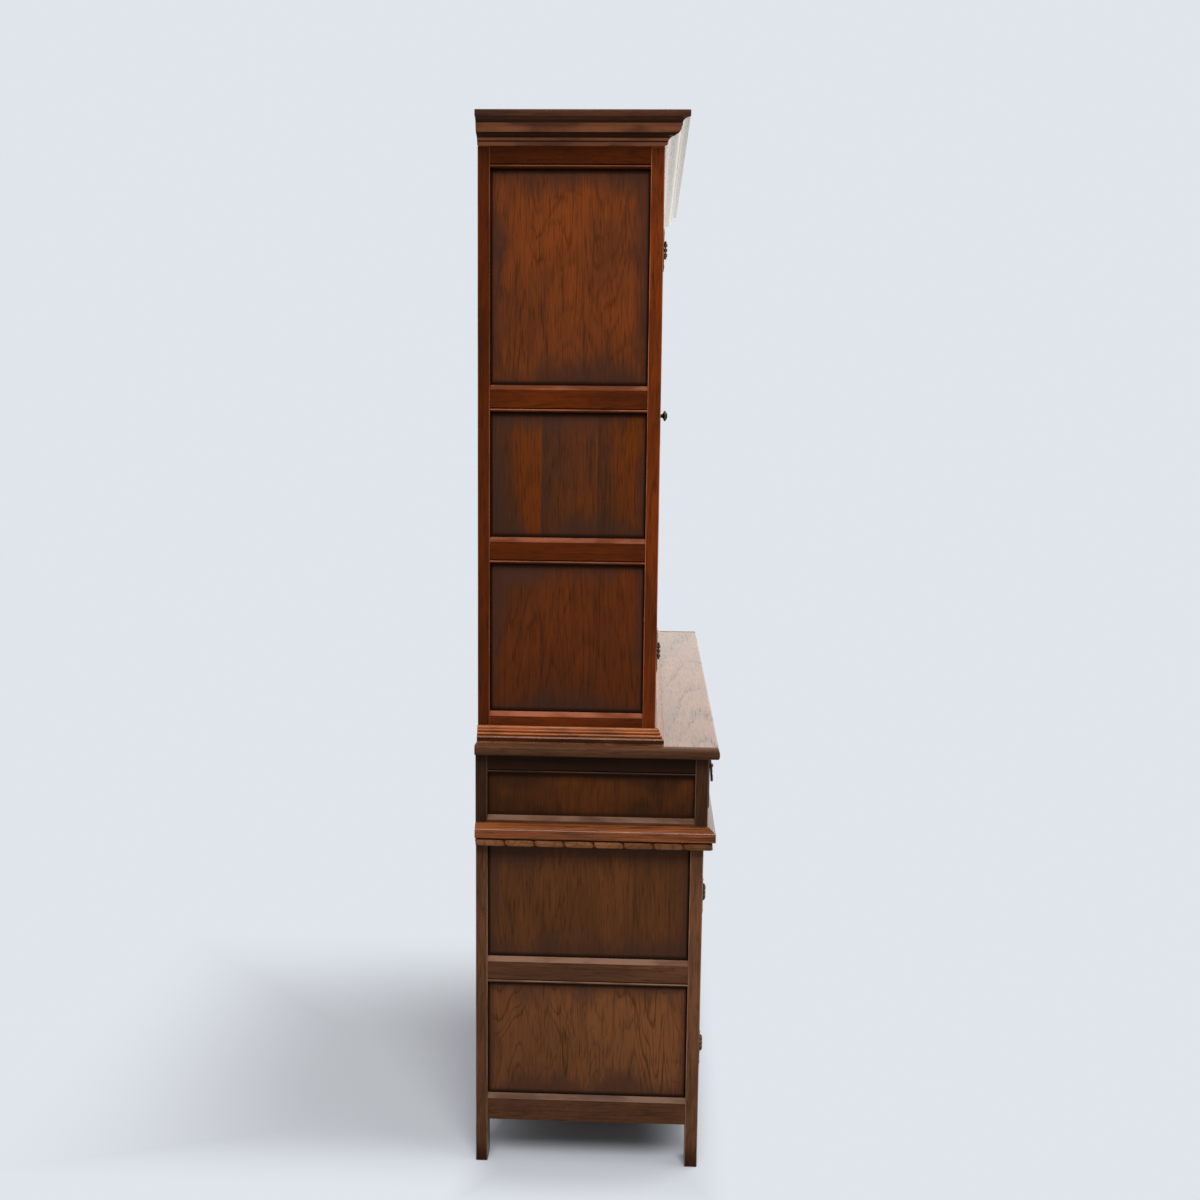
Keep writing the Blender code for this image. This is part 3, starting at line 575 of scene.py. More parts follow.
def eased(bm, ease):
    flag = bm.faces.layers.int["arris"]
    bmesh.ops.recalc_face_normals(bm, faces=bm.faces)
    sharp = [edge for edge in bm.edges if edge.calc_face_angle(0.0) > EASED_ANGLE]
    made = bmesh.ops.bevel(bm, geom=sharp, offset=ease, segments=2, profile=0.5, affect="EDGES")
    # Eased edges are marked to be rubbed pale and take a painted highlight
    for face in made["faces"]:
        face[flag] = RUBBED_AND_LIT
    return bm


def block(low, high, ease=EASE):
    bm = flagged()
    place = Matrix.Translation((low + high) / 2) @ Matrix.Diagonal((*(high - low), 1.0))
    bmesh.ops.create_cube(bm, size=1.0, matrix=place)
    return eased(bm, ease)


def board(x0, x1, y0, y1, z0, z1, ease=EASE):
    return block(Vector((x0, y0, z0)), Vector((x1, y1, z1)), ease)


def loft(rings, smooth=True):
    """Rings of points joined one to the next, with a flat face on each end."""
    bm = flagged()
    loops = [[bm.verts.new(point) for point in ring] for ring in rings]
    count = len(rings[0])
    for first, second in zip(loops, loops[1:]):
        for i in range(count):
            j = (i + 1) % count
            face = bm.faces.new((first[i], first[j], second[j], second[i]))
            face.smooth = smooth
    bm.faces.new(loops[0])
    bm.faces.new(loops[-1])
    bmesh.ops.recalc_face_normals(bm, faces=bm.faces)
    return bm


def plate(outline, thick, ease):
    """A flat outline of points, given a thickness towards the front."""
    bm = loft([outline, [Vector(point) + FORWARD * thick for point in outline]], smooth=False)
    return eased(bm, ease)


def turned(profile, centre, along, sides):
    """A turned solid from (radius, distance) pairs along an axis. The first and last lie on the axis."""
    bm = flagged()
    across = along.orthogonal().normalized()
    points = [bm.verts.new(centre + along * distance + across * radius) for radius, distance in profile]
    edges = [bm.edges.new(pair) for pair in zip(points, points[1:])]
    bmesh.ops.spin(bm, geom=points + edges, cent=centre, axis=along, angle=math.tau, steps=sides)
    bmesh.ops.remove_doubles(bm, verts=bm.verts, dist=1e-6)
    bmesh.ops.recalc_face_normals(bm, faces=bm.faces)
    for face in bm.faces:
        face.smooth = True
    return bm


def bar(path, radii, sides=12):
    """A round bar along a path of points in a plane, with its own radius at each point."""
    rings = []
    last = len(path) - 1
    for i, (point, radius) in enumerate(zip(path, radii)):
        heading = (path[min(i + 1, last)] - path[max(i - 1, 0)]).normalized()
        turn = UPWARD.rotation_difference(heading)
        ring = []
        for step in range(sides):
            angle = math.tau * step / sides
            ring.append(point + turn @ Vector((radius * math.cos(angle), radius * math.sin(angle), 0)))
        rings.append(ring)
    return loft(rings)


class Piece:
    """Shapes gathered into one finished piece. Each board keeps its own grain, border and chance numbers."""

    def __init__(self, name):
        self.name = name
        self.chance = random.Random(name)
        self.points = []
        self.faces = []
        self.smooth = []
        self.fields = {"grain": [], "place": [], "half": [], "board": []}
        self.arris = []

    def lay(self, bm, along, joints=(X, ()), within=None, tone=0.0):
        """Adds a shape with its grain along an axis, as one board or as boards glued at (axis, places).

        Painted shade, with a darker stain, gathers along the board's own border, or along that of the box
        within. The tone makes a board paler above 0 and darker below."""
        axis, places = joints
        for place in places:
            cut(bm, axis, place)
        groups = [[] for _ in range(len(places) + 1)]
        for face in bm.faces:
            groups[bisect.bisect(places, face.calc_center_median()[axis])].append(face)
        for faces in groups:
            self._board(bm, faces, along, within, tone)
        bm.free()

    def _board(self, bm, faces, along, within, tone):
        flag = bm.faces.layers.int["arris"]
        spots = [vert.co for face in faces for vert in face.verts]
        low = Vector([min(spot[i] for spot in spots) for i in range(3)])
        high = Vector([max(spot[i] for spot in spots) for i in range(3)])
        middle, size = (low + high) / 2, high - low
        border_low, border_high = within or (low, high)
        border_middle, border_half = (border_low + border_high) / 2, (border_high - border_low) / 2
        through, across = sorted((i for i in range(3) if i != along), key=lambda i: size[i])
        order = (across, through, along)
        half = [border_half[i] for i in order]
        chances = [self.chance.random(), self.chance.random(), self.chance.random() + tone]
        index = {}
        for face in faces:
            ring = []
            for vert in face.verts:
                if vert not in index:
                    index[vert] = len(self.points)
                    self.points.append(vert.co.copy())
                ring.append(index[vert])
                self.fields["grain"] += [vert.co[i] - middle[i] for i in order]
                self.fields["place"] += [vert.co[i] - border_middle[i] for i in order]
                self.fields["half"] += half
                self.fields["board"] += chances
                self.arris.append(float(face[flag]))
            self.faces.append(ring)
            self.smooth.append(face.smooth)

    def add(self, bm):
        """Adds a shape that needs no grain."""
        self.lay(bm, Z)

    def finish(self, material, *nodes, body="carcass"):
        mesh = bpy.data.meshes.new(self.name)
        mesh.from_pydata(self.points, [], self.faces)
        for name, values in self.fields.items():
            mesh.attributes.new(name, "FLOAT_VECTOR", "CORNER").data.foreach_set("vector", values)
        mesh.attributes.new("arris", "FLOAT", "CORNER").data.foreach_set("value", self.arris)
        mesh.polygons.foreach_set("use_smooth", self.smooth)
        mesh.set_sharp_from_angle(angle=SMOOTH_ANGLE)
        place_piece(self.name, mesh, material, body, *nodes)


def place_piece(name, mesh, material, body, *nodes):
    mesh.materials.clear()
    mesh.materials.append(material)
    obj = bpy.data.objects.new(name, mesh)
    bpy.context.collection.objects.link(obj)
    if nodes:
        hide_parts(*nodes)
    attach(obj, body)
    SLOTS.get(material, "dark_oak")


def begun(node, finish="oak"):
    """A piece that dresses a node, and the corners of the node's box."""
    return Piece(f"{node}_{finish}"), *corners(node)


# Frames and panels
def lay_rail(piece, case, sign, z0, z1, tone, beaded=False, chamfered=False):
    """A rail of an end: chamfered where a panel stands on it, and beaded where a panel hangs below."""
    plane, inner, shoulder = case.half - RAIL_STEP, case.half - RAIL_THICK, case.half - PANEL_RECESS
    radius = BEAD_HEIGHT / 2
    quirk = z0 + BEAD_HEIGHT
    quirk_top = quirk + 3 * RAIL_STEP
    lower = [(plane, z0)]
    if beaded:
        lower = [(plane - radius - RAIL_STEP, z0)]
        lower += half_round((plane - radius, z0 + radius), radius, radius, 8)
        lower += [(plane - radius, quirk + RAIL_STEP), (plane, quirk_top)]
    upper = [(plane, z1 - CHAMFER_HEIGHT), (shoulder, z1)] if chamfered else [(plane, z1)]
    outline = [(inner, z0), *lower, *upper, (inner, z1)]

    # Chamfers and the top of the bead are rubbed pale with a painted highlight, and the quirk takes painted
    # shade
    def rule(rise, height):
        if 0.3 < rise < 0.95 and height > (z0 + z1) / 2:
            return RUBBED_AND_LIT
        if beaded and quirk < height < quirk_top:
            return PAINTED_SHADE
        if beaded and 0.5 * BEAD_HEIGHT < height - z0 < 0.9 * BEAD_HEIGHT:
            return RUBBED_AND_LIT
        return PLAIN

    ends = (case.front + POST_DEPTH, BACK_POST_FACE)
    bm = loft([[(sign * x, y, z) for x, z in outline] for y in ends])
    mark(bm, rule)
    piece.lay(bm, Y, tone=tone)


def lay_post(piece, case, sign, y0, y1, tone=0.0):
    x0, x1 = sorted((sign * case.half, sign * (case.half - POST_WIDTH)))
    piece.lay(board(x0, x1, y0, y1, case.bottom, case.top, POST_EASE), Z, tone=tone)


def lay_front(piece, case, bottom, opening, divider, tones=(0.0, 0.0, 0.0)):
    """The rails below and above an opening in the front, and the upright that divides it."""
    inner = case.half - POST_WIDTH
    y0, y1 = case.front + RAIL_STEP, case.front + POST_DEPTH - RAIL_STEP
    low_tone, top_tone, divider_tone = tones
    piece.lay(board(-inner, inner, y0, y1, bottom, opening[0]), X, tone=low_tone)
    piece.lay(board(-inner, inner, y0, y1, opening[1], case.top - RAIL_STEP), X, tone=top_tone)
    if divider:
        piece.lay(board(-divider / 2, divider / 2, y0, y1, *opening), Z, tone=divider_tone)


FRAME_FINISH = {"base": LOWER_FRAME_OAK, "upper": FRAME_OAK}

# How dark the back posts of the ends are, and their rails from the lowest up
BACK_POST_TONES = {"base": -0.4, "upper": -1.5}
RAIL_TONES = {"base": (-1.6, -0.95, -1.0), "upper": (-0.8, -1.9, -0.7, -1.3)}


def make_end(prefix, side, case, bottom, names):
    """The back post of an end, and the rails that fill what its panels leave."""
    sign = SIDES[side]
    node = f"{prefix}_{side}_end_frame"
    levels = [bottom]
    for name in names:
        low, high = corners(f"{prefix}_{side}_{name}_panel")
        levels += [low.z, high.z]
    levels.append(case.top)
    piece = Piece(f"{node}_oak")
    lay_post(piece, case, sign, BACK_POST_FACE, BACK, BACK_POST_TONES[prefix])
    for i, (z0, z1) in enumerate(zip(levels[::2], levels[1::2])):
        tone = RAIL_TONES[prefix][i]
        lay_rail(piece, case, sign, z0, z1, tone, beaded=i > 0, chamfered=i < len(names))
    piece.finish(FRAME_FINISH[prefix], node)


# Each end panel's oak, where its boards meet as shares of its depth from the front, and how dark it is
PANELS = {
    ("base", "lower"): (FIGURED_OAK, (0.50,), 0.0),
    ("base", "upper"): (LOWER_PANEL_OAK, (), -0.7),
    ("upper", "lower"): (PANEL_OAK, (), -1.5),
    ("upper", "middle"): (MIDDLE_PANEL_OAK, (0.31, 0.67), -0.35),
    ("upper", "upper"): (PANEL_OAK, (), 0.0),
}


def make_panel(prefix, side, name):
    node = f"{prefix}_{side}_{name}_panel"
    piece, low, high = begun(node)
    material, shares, tone = PANELS[prefix, name]
    joints = (Y, between(low.y, high.y, shares))
    piece.lay(block(low, high, GLUE_EASE), Z, joints, (low, high), tone)
    piece.finish(material, node)


def make_face_frame(prefix, case, bottom, muntin):
    """The front posts with the rails above and below the doors, and a muntin where there is one."""
    node = f"{prefix}_face_frame"
    low, high = corners(f"{prefix}_left_door_frame")
    piece = Piece(f"{node}_oak")
    for sign in SIDES.values():
        lay_post(piece, case, sign, case.front, case.front + POST_DEPTH)
    lay_front(piece, case, bottom, (low.z - DOOR_GAP, high.z + DOOR_GAP), muntin)
    piece.finish(FRAME_FINISH[prefix], node)


def make_back(node, count):
    """Upright boards of uneven widths, their edges chamfered into V joints."""
    piece, low, high = begun(node)
    widths = [piece.chance.uniform(0.8, 1.2) for _ in range(count)]
    left = low.x
    for width in widths:
        right = left + (high.x - low.x) * width / sum(widths)
        piece.lay(board(left, right, low.y, high.y, low.z, high.z, BACK_JOINT), Z)
        left = right
    piece.finish(INSIDE_OAK, node)


def make_shelf(node, count):
    """A floor or shelf glued up from boards along the width."""
    piece, low, high = begun(node)
    shares = [i / count for i in range(1, count)]
    piece.lay(block(low, high), X, (Y, between(low.y, high.y, shares)))
    piece.finish(INSIDE_OAK, node)


# Mouldings
def mitred_runs(ends, across, half, front, back, z, profile, worn_and_lit=(), dark=()):
    """A moulding in three lengths mitred at the front corners, from a closed (projection, height) outline.

    The lengths on the ends and the one across the front may go to different pieces. Some faces are rubbed
    pale with a painted highlight as arrises are, and dark ones take painted shade, both between shares of the
    moulding's height."""
    tall = max(up for _, up in profile)

    def rule(_, height):
        share = (height - z) / tall
        if any(low < share < high for low, high in worn_and_lit):
            return RUBBED_AND_LIT
        if any(low < share < high for low, high in dark):
            return PAINTED_SHADE
        return PLAIN

    rings = []
    for side, y, mitre in ((-1, back, 0), (-1, front, 1), (1, front, 1), (1, back, 0)):
        rings.append([(side * (half + out), y - mitre * out, z + up) for out, up in profile])
    for pair, along, piece in zip(zip(rings, rings[1:]), (Y, X, Y), (ends, across, ends)):
        bm = loft(pair)
        mark(bm, rule)
        piece.lay(bm, along)


def make_cornice():
    """Cove, ovolo, cove and a plain fillet under the top, with a board let in behind them."""
    piece, low, high = begun("cornice")
    out, height = UPPER.front - low.y, high.z - low.z
    shares = [(0.07, 0.015), (0.09, 0.035)]
    shares += arc((0.10, 0.06), (0.37, 0.28), hollow=True)
    shares += [(0.40, 0.285)]
    shares += arc((0.41, 0.31), (0.65, 0.54), hollow=False)
    shares += [(0.68, 0.55)]
    shares += arc((0.68, 0.63), (0.95, 0.78), hollow=True)
    shares += [(0.985, 0.79), (1.0, 0.81), (1.0, 0.97), (0.98, 1.0)]
    back = [(-CORNICE_WALL, height), (-CORNICE_WALL, 0), (-0.0005, 0), (0.0, 0.0005)]
    profile = back + scaled(shares, out, height)
    # The ovolo and the small fillets are rubbed pale with a painted highlight, and the coves and grooves take
    # painted shade
    worn_and_lit = ((0.37, 0.62), (0.17, 0.24), (0.0, 0.10))
    dark = ((0.24, 0.37), (0.62, 0.72), (0.10, 0.17))
    across = Piece("cornice_front_oak")
    mitred_runs(piece, across, UPPER.half, UPPER.front, BACK, low.z, profile, worn_and_lit, dark)
    across.finish(CORNICE_FRONT_OAK)
    inner, front = UPPER.half - CORNICE_WALL, UPPER.front + CORNICE_WALL
    lid = high.z - CORNICE_LID
    joints = (Y, between(front, BACK, (1 / 3, 2 / 3)))
    piece.lay(board(-inner, inner, front, BACK, lid, high.z - RAIL_STEP), X, joints)
    piece.lay(board(-inner, inner, BACK - CORNICE_WALL, BACK, low.z, lid), X)
    piece.finish(CORNICE_OAK, "cornice")


def make_plinth():
    """Rounded steps that fall back from the foot to the top."""
    piece, low, high = begun("plinth_moulding")
    height = high.z - low.z
    profile = [(FIT, 0), (0.0155, 0), (0.016, 0.0006), (0.016, 0.25 * height)]
    profile += arc((0.0155, 0.27 * height), (0.0125, 0.36 * height), hollow=True, steps=4)
    for share, reach in ((0.46, 0.0126), (0.68, 0.0098)):
        profile += half_round((reach - PLINTH_ROUND, share * height), PLINTH_ROUND, 0.095 * height, 6)
    profile += [(0.0075, 0.80 * height)]
    profile += arc((0.0075, 0.82 * height), (0.004, height), hollow=True, steps=5)
    profile += [(FIT, height)]
    # The upper steps are rubbed pale with a painted highlight, and the foot takes painted shade
    worn_and_lit, dark = ((0.40, 1.0),), ((0.0, 0.20),)
    mitred_runs(piece, piece, UPPER.half, UPPER.front, BACK, low.z, profile, worn_and_lit, dark)
    piece.finish(MOULDING_OAK, "plinth_moulding")


def make_waist():
    """A board with a moulded edge, the neck under it, and the drawer runners on top."""
    piece, low, _ = begun("waist_board")
    half, front = -low.x, low.y
    floor = BASE.top + FIT
    top = floor + WAIST_THICK
    chamfer = half - DRAWERS.half - RAIL_STEP
    inside = BASE.half + FIT - half
    edge = [(-WAIST_BORDER, 0), (inside, 0), (inside, -WAIST_LIP), (-0.0008, -WAIST_LIP)]
    edge += [(0, 0.0008 - WAIST_LIP), (0, WAIST_FACE - 0.0012), (-0.0004, WAIST_FACE - 0.0004)]
    edge += [(-0.0018, WAIST_FACE + 0.0009), (0.0012 - chamfer, WAIST_THICK - 0.0008)]
    edge += [(-chamfer - 0.0005, WAIST_THICK), (-WAIST_BORDER, WAIST_THICK)]
    mitred_runs(piece, piece, half, front, BACK, floor, edge)
    inner = half - WAIST_BORDER
    piece.lay(board(-inner, inner, front + WAIST_BORDER, BACK, floor, top, GLUE_EASE), X)
    strip_low = low.z - floor - WAIST_LIP
    neck = [(FIT, strip_low), (STRIP_NECK, strip_low), (STRIP_NECK, -WAIST_LIP), (FIT, -WAIST_LIP)]
    mitred_runs(piece, piece, BASE.half, BASE.front, BACK - RAIL_STEP, floor, neck)
    y0, y1 = DRAWERS.front + POST_DEPTH + FIT, BACK_POST_FACE - FIT
    z0, z1 = top - FIT, corners("right_drawer_box")[0].z - FIT
    outer = DRAWERS.half - POST_WIDTH + RUNNER_TUCK
    middle = DRAWER_DIVIDER / 2 + RUNNER_WIDTH
    for x0, x1 in ((-outer, RUNNER_WIDTH - outer), (-middle, middle), (outer - RUNNER_WIDTH, outer)):
        piece.lay(board(x0, x1, y0, y1, z0, z1), Y)
    piece.finish(MOULDING_OAK, "waist_board")
    make_carved_strip(floor + strip_low, floor - WAIST_LIP - STRIP_GROOVE)


def begin_tree(name, inputs):
    """A tree of geometry with its own inputs and a finish."""
    inputs = (("Geometry", GEOMETRY, None), *inputs, ("Finish", MATERIAL, None))
    return new_group(name, "GeometryNodeTree", inputs, (("Geometry", GEOMETRY),))


def end_tree(graph, result, instances, finish):
    """Makes a tree's instances real and gives them their finish."""
    real = graph.shape("RealizeInstances", instances)
    graph.fill(result, {"Geometry": graph.shape("SetMaterial", real, {"Material": finish})})
    return graph.tree


def stored(graph, geometry, name, value, domain):
    """Geometry that carries a named vector."""
    inputs = {"Name": name, "Value": value}
    return graph.shape("StoreNamedAttribute", geometry, inputs, data_type="FLOAT_VECTOR", domain=domain)


def carved_strip_tree():
    """Swelling bars with notched ends, laid one after another along a line."""
    graph, given, result = begin_tree(
        "carved_strip",
        (
            ("Count", WHOLE, 9),
            ("Pitch", FLOAT, STRIP_PITCH),
            ("Notch", FLOAT, 0.0016),
            ("Reach", FLOAT, 0.008),
            ("Rise", FLOAT, 0.006),
            ("Slant", FLOAT, 0.3),
            ("Start", VECTOR, (0, 0, 0)),
            ("Turn", VECTOR, (0, 0, 0)),
        ),
    )

    def squared(value):
        """Draws a round outline out towards a square one."""
        return graph.math("SIGN", value) * graph.math("POWER", abs(value), 0.42)

    length = given["Pitch"] - given["Notch"]
    sizes = {"Vertices": 16, "Side Segments": 12, "Radius": 1.0, "Depth": 2.0}
    rod = graph.wire("GeometryNodeMeshCylinder", "Mesh", sizes, fill_type="NGON")
    x, y, z = graph.split(graph.wire("GeometryNodeInputPosition", 0))
    swell = graph.math("POWER", abs(z), 14.0) * -0.30 + 1.0
    rise = squared(y) * swell * given["Rise"]
    reach = squared(x) * swell * given["Reach"]
    run = z * (length * 0.5) + rise * given["Slant"]
    shaped = graph.shape("SetPosition", rod, {"Position": graph.join(run, reach, rise)})
    x, y, z = graph.split(graph.wire("GeometryNodeInputPosition", 0))
    grained = stored(graph, shaped, "grain", graph.join(z, y, x), "POINT")
    smooth = graph.shape("SetShadeSmooth", grained, domain="FACE")
    inputs = {"Count": given["Count"], "Offset": graph.join(given["Pitch"], 0.0, 0.0)}
    line = graph.wire("GeometryNodeMeshLine", "Mesh", inputs)
    laid = graph.wire("GeometryNodeInstanceOnPoints", "Instances", {"Points": line, "Instance": smooth})
    chance = graph.wire("FunctionNodeRandomValue", 0, {"Seed": STRIP_SEED}, data_type="FLOAT_VECTOR")
    toned = stored(graph, laid, "board", chance, "INSTANCE")
    moved = graph.shape("Transform", toned, {"Translation": given["Start"], "Rotation": given["Turn"]})
    return end_tree(graph, result, moved, given["Finish"])


def grown(tree, points, values):
    """The mesh that a tree makes of some points, with its inputs set by name."""
    mesh = bpy.data.meshes.new("seed")
    mesh.from_pydata(points, [], [])
    obj = bpy.data.objects.new("seed", mesh)
    bpy.context.collection.objects.link(obj)
    modifier = obj.modifiers.new("grow", "NODES")
    modifier.node_group = tree
    for item in tree.interface.items_tree:
        if item.in_out == "INPUT" and item.name in values:
            modifier[item.identifier] = values[item.name]
    graph = bpy.context.evaluated_depsgraph_get()
    made = bpy.data.meshes.new_from_object(obj.evaluated_get(graph))
    bpy.data.objects.remove(obj)
    bpy.data.meshes.remove(mesh)
    return made


def joined(meshes):
    """Several meshes as one, keeping their attributes."""
    bm = bmesh.new()
    for mesh in meshes:
        bm.from_mesh(mesh)
    whole = bpy.data.meshes.new("joined")
    bm.to_mesh(whole)
    bm.free()
    return whole


def make_carved_strip(low, high):
    """Carved bars along the neck under the waist board, on both ends and the front."""
    radius = STRIP_REACH / 2
    rise = (high - low) / 2
    z = low + rise
    front = BASE.front - STRIP_REACH
    width = 2 * (BASE.half + STRIP_REACH)
    end_count = int((BACK - front) / STRIP_PITCH)
    front_count = int(width / STRIP_PITCH)
    end_pitch = (BACK - RAIL_STEP - front) / end_count
    front_pitch = width / front_count
    first_end = front + end_pitch / 2
    first_front = (front_pitch - width) / 2
    runs = (
        (end_count, end_pitch, (-BASE.half - radius, first_end, z), math.pi / 2),
        (front_count, front_pitch, (first_front, BASE.front - radius, z), 0.0),
        (end_count, end_pitch, (BASE.half + radius, first_end, z), math.pi / 2),
    )
    tree = carved_strip_tree()
    lengths = []
    for count, pitch, start, turn in runs:
        values = {"Count": count, "Pitch": pitch, "Reach": radius, "Rise": rise, "Start": start}
        values.update({"Turn": (0.0, 0.0, turn), "Finish": CARVED_OAK})
        lengths.append(grown(tree, [], values))
    place_piece("carved_strip_oak", joined(lengths), CARVED_OAK, "carcass")


def make_top():
    """Boards along the width with a thumbnail edge, and a lipping across each end."""
    piece, low, high = begun("sideboard_top")
    thick = high.z - low.z
    edge = [(-0.30, 0.0), (-0.20, 0.005), (-0.10, 0.06), (-0.04, 0.17), (-0.005, 0.33), (0.0, 0.46)]
    edge += [(-0.01, 0.66), (-0.04, 0.80), (-0.09, 0.90), (-0.17, 0.97), (-0.27, 1.0)]
    rings = []
    for out, up in scaled(edge, thick, thick):
        reach, front, z = high.x + out, low.y - out, low.z + up
        rings.append([(-reach, front, z), (reach, front, z), (reach, BACK, z), (-reach, BACK, z)])
    boards = loft(rings)
    inner = high.x - TOP_LIPPING
    for sign in SIDES.values():
        cut(boards, X, sign * inner)
    lippings = boards.copy()
    for bm, without_ends in ((boards, True), (lippings, False)):
        unwanted = [face for face in bm.faces if (abs(face.calc_center_median().x) > inner) == without_ends]
        bmesh.ops.delete(bm, geom=unwanted, context="FACES")
    piece.lay(boards, X, (Y, between(low.y, high.y, (0.24, 0.47, 0.73))))
    piece.finish(TOP_OAK, "sideboard_top")
    edges = Piece("sideboard_top_lipping_oak")
    edges.lay(lippings, Y, (X, (0.0,)), tone=-0.9)
    edges.finish(LOWER_FRAME_OAK)


# Drawer case and drawers, with how dark the case's low rail, top rail and divider are in front, and its ends
CASE_FRONT_TONES = (-1.0, -1.2, -1.0)
# The ends' darkness is painted shade under the top's overhang, deepest on the top rail and back posts
CASE_PAINTED_SHADE = {"front_post": -2.0, "back_post": -2.8, "low_rail": -1.5, "top_rail": -3.0, "panel": -0.3}


def make_drawer_case():
    piece = Piece("drawer_case_oak")
    low, high = DRAWERS.bottom, DRAWERS.top
    panel_low, panel_high = low + CASE_LOW_RAIL, high - CASE_TOP_RAIL
    post_back = DRAWERS.front + POST_DEPTH
    front_low, front_high = corners("right_drawer_front")
    opening = (front_low.z + DRAWER_LIP, front_high.z - DRAWER_LIP)
    for sign in SIDES.values():
        lay_post(piece, DRAWERS, sign, DRAWERS.front, post_back, CASE_PAINTED_SHADE["front_post"])
        lay_post(piece, DRAWERS, sign, BACK_POST_FACE, BACK, CASE_PAINTED_SHADE["back_post"])
        lay_rail(piece, DRAWERS, sign, low, panel_low, CASE_PAINTED_SHADE["low_rail"], chamfered=True)
        lay_rail(piece, DRAWERS, sign, panel_high, high, CASE_PAINTED_SHADE["top_rail"], beaded=True)
    lay_front(piece, DRAWERS, low + RAIL_STEP, opening, DRAWER_DIVIDER, CASE_FRONT_TONES)
    inner = DRAWERS.half - POST_WIDTH
    piece.lay(board(-inner, inner, BACK_POST_FACE, BACK_POST_FACE + CASE_BACK_THICK, low, high), X)
    piece.finish(LOWER_FRAME_OAK, "drawer_case")
    panels = Piece("drawer_case_panels_oak")
    outer = DRAWERS.half - PANEL_RECESS
    for sign in SIDES.values():
        x0, x1 = sorted((sign * outer, sign * (outer - CASE_PANEL_THICK)))
        within = (Vector((x0, post_back, panel_low)), Vector((x1, BACK_POST_FACE, panel_high)))
        panels.lay(block(*within, GLUE_EASE), Z, within=within, tone=CASE_PAINTED_SHADE["panel"])
    panels.finish(DRAWER_PANEL_OAK)


def make_drawer(side):
    """A lipped front with a moulded edge, and the box behind it."""
    body = f"{side}_drawer"
    node = f"{body}_front"
    piece, low, high = begun(node)
    lip_back = DRAWERS.front - FIT
    edge = [(0.0, 1.0), (0.0, 0.7), *arc((0.0004, 0.6), (0.0045, 0.08), hollow=False)]
    edge += [(0.0052, 0.1), (0.0058, 0.02), (0.0066, 0.0)]
    edge = [(inset, low.y + share * (lip_back - low.y)) for inset, share in edge]
    piece.lay(loft(inset_rings(low, high, edge)), X, tone=-0.6)
    inset = DRAWER_LIP + DOOR_GAP
    piece.lay(board(low.x + inset, high.x - inset, lip_back - FIT, high.y, low.z + inset, high.z - inset), X)
    piece.finish(LOWER_FRAME_OAK, node, body=body)
    node = f"{body}_box"
    tray, low, high = begun(node)
    x0, x1, y0, y1 = low.x + DRAWER_WALL, high.x - DRAWER_WALL, low.y + DRAWER_WALL, high.y - DRAWER_WALL
    for ends in ((low.x, x0), (x1, high.x)):
        tray.lay(board(*ends, low.y, high.y, low.z, high.z), Y)
    for ends in ((low.y, y0), (y1, high.y)):
        tray.lay(board(x0, x1, *ends, low.z, high.z - FIT), X)
    joints = (X, between(low.x, high.x, (0.25, 0.50, 0.75)))
    tray.lay(board(x0, x1, y0, y1, low.z, low.z + DRAWER_FLOOR), Y, joints)
    tray.finish(DRAWER_OAK, node, body=body)


# Doors
def mitred_sticks(piece, low, high, profile):
    """Four sticks mitred round a rectangle, from a closed (inset, depth) outline."""
    rings = []
    for right, top in ((0, 0), (1, 0), (1, 1), (0, 1)):
        ring = []
        for inset, depth in profile:
            x = high.x - inset if right else low.x + inset
            z = high.z - inset if top else low.z + inset
            ring.append((x, low.y + depth, z))
        rings.append(ring)
    for i, along in enumerate((X, Z, X, Z)):
        piece.lay(loft((rings[i], rings[(i + 1) % 4])), along)


def make_door(prefix, side):
    """Stiles run through, rails stand between them, and a rounded sticking is mitred round the opening."""
    body = f"{prefix}_{side}_door"
    node = f"{body}_frame"
    piece, low, high = begun(node)
    width = DOOR_STILE - REBATE_WIDTH
    for ends in ((low.x, low.x + width), (high.x - width, high.x)):
        piece.lay(board(*ends, low.y, high.y, low.z, high.z), Z)
    for ends in ((low.z, low.z + width), (high.z - width, high.z)):
        piece.lay(board(low.x + width, high.x - width, low.y + RAIL_STEP, high.y - RAIL_STEP, *ends), X)
    front = DOOR_THICK - REBATE_DEPTH
    sight = [(width - FIT, front), (width - FIT, RAIL_STEP), (DOOR_STILE - STICKING, RAIL_STEP)]
    sight += arc((DOOR_STILE - STICKING + 0.0005, 0.0016), (DOOR_STILE, STICKING), hollow=False)
    sight += [(DOOR_STILE, front)]
    mitred_sticks(piece, low, high, sight)
    if prefix == "upper":
        pane_back = corners(f"{body}_glass")[1].y - low.y
        bead = [(width + 0.0005, FIT), (DOOR_STILE, FIT), (DOOR_STILE - 0.0008, 0.003)]
        bead += [(DOOR_STILE - 0.003, 0.0052), (DOOR_STILE - 0.0055, 0.006), (width + 0.0005, 0.006)]
        mitred_sticks(piece, low, high, [(inset, pane_back + depth) for inset, depth in bead])
    piece.finish(FRAME_FINISH[prefix], node, body=body)


def make_door_panel(side):
    """A fielded panel: thin edges in the rebate, a sloping border, a small step and a flat field."""
    body = f"base_{side}_door"
    node = f"{body}_panel"
    piece, low, high = begun(node)
    field = low.y - FIELD_RISE
    edge = ((0.0, high.y), (0.0, low.y), (0.016, low.y), (0.050, field + 0.0014), (0.0502, field))
    joints = (X, between(low.x, high.x, (0.33, 0.68)))
    piece.lay(loft(inset_rings(low, high, edge), smooth=False), Z, joints, (low, high))
    piece.finish(FIGURED_OAK, node, body=body)


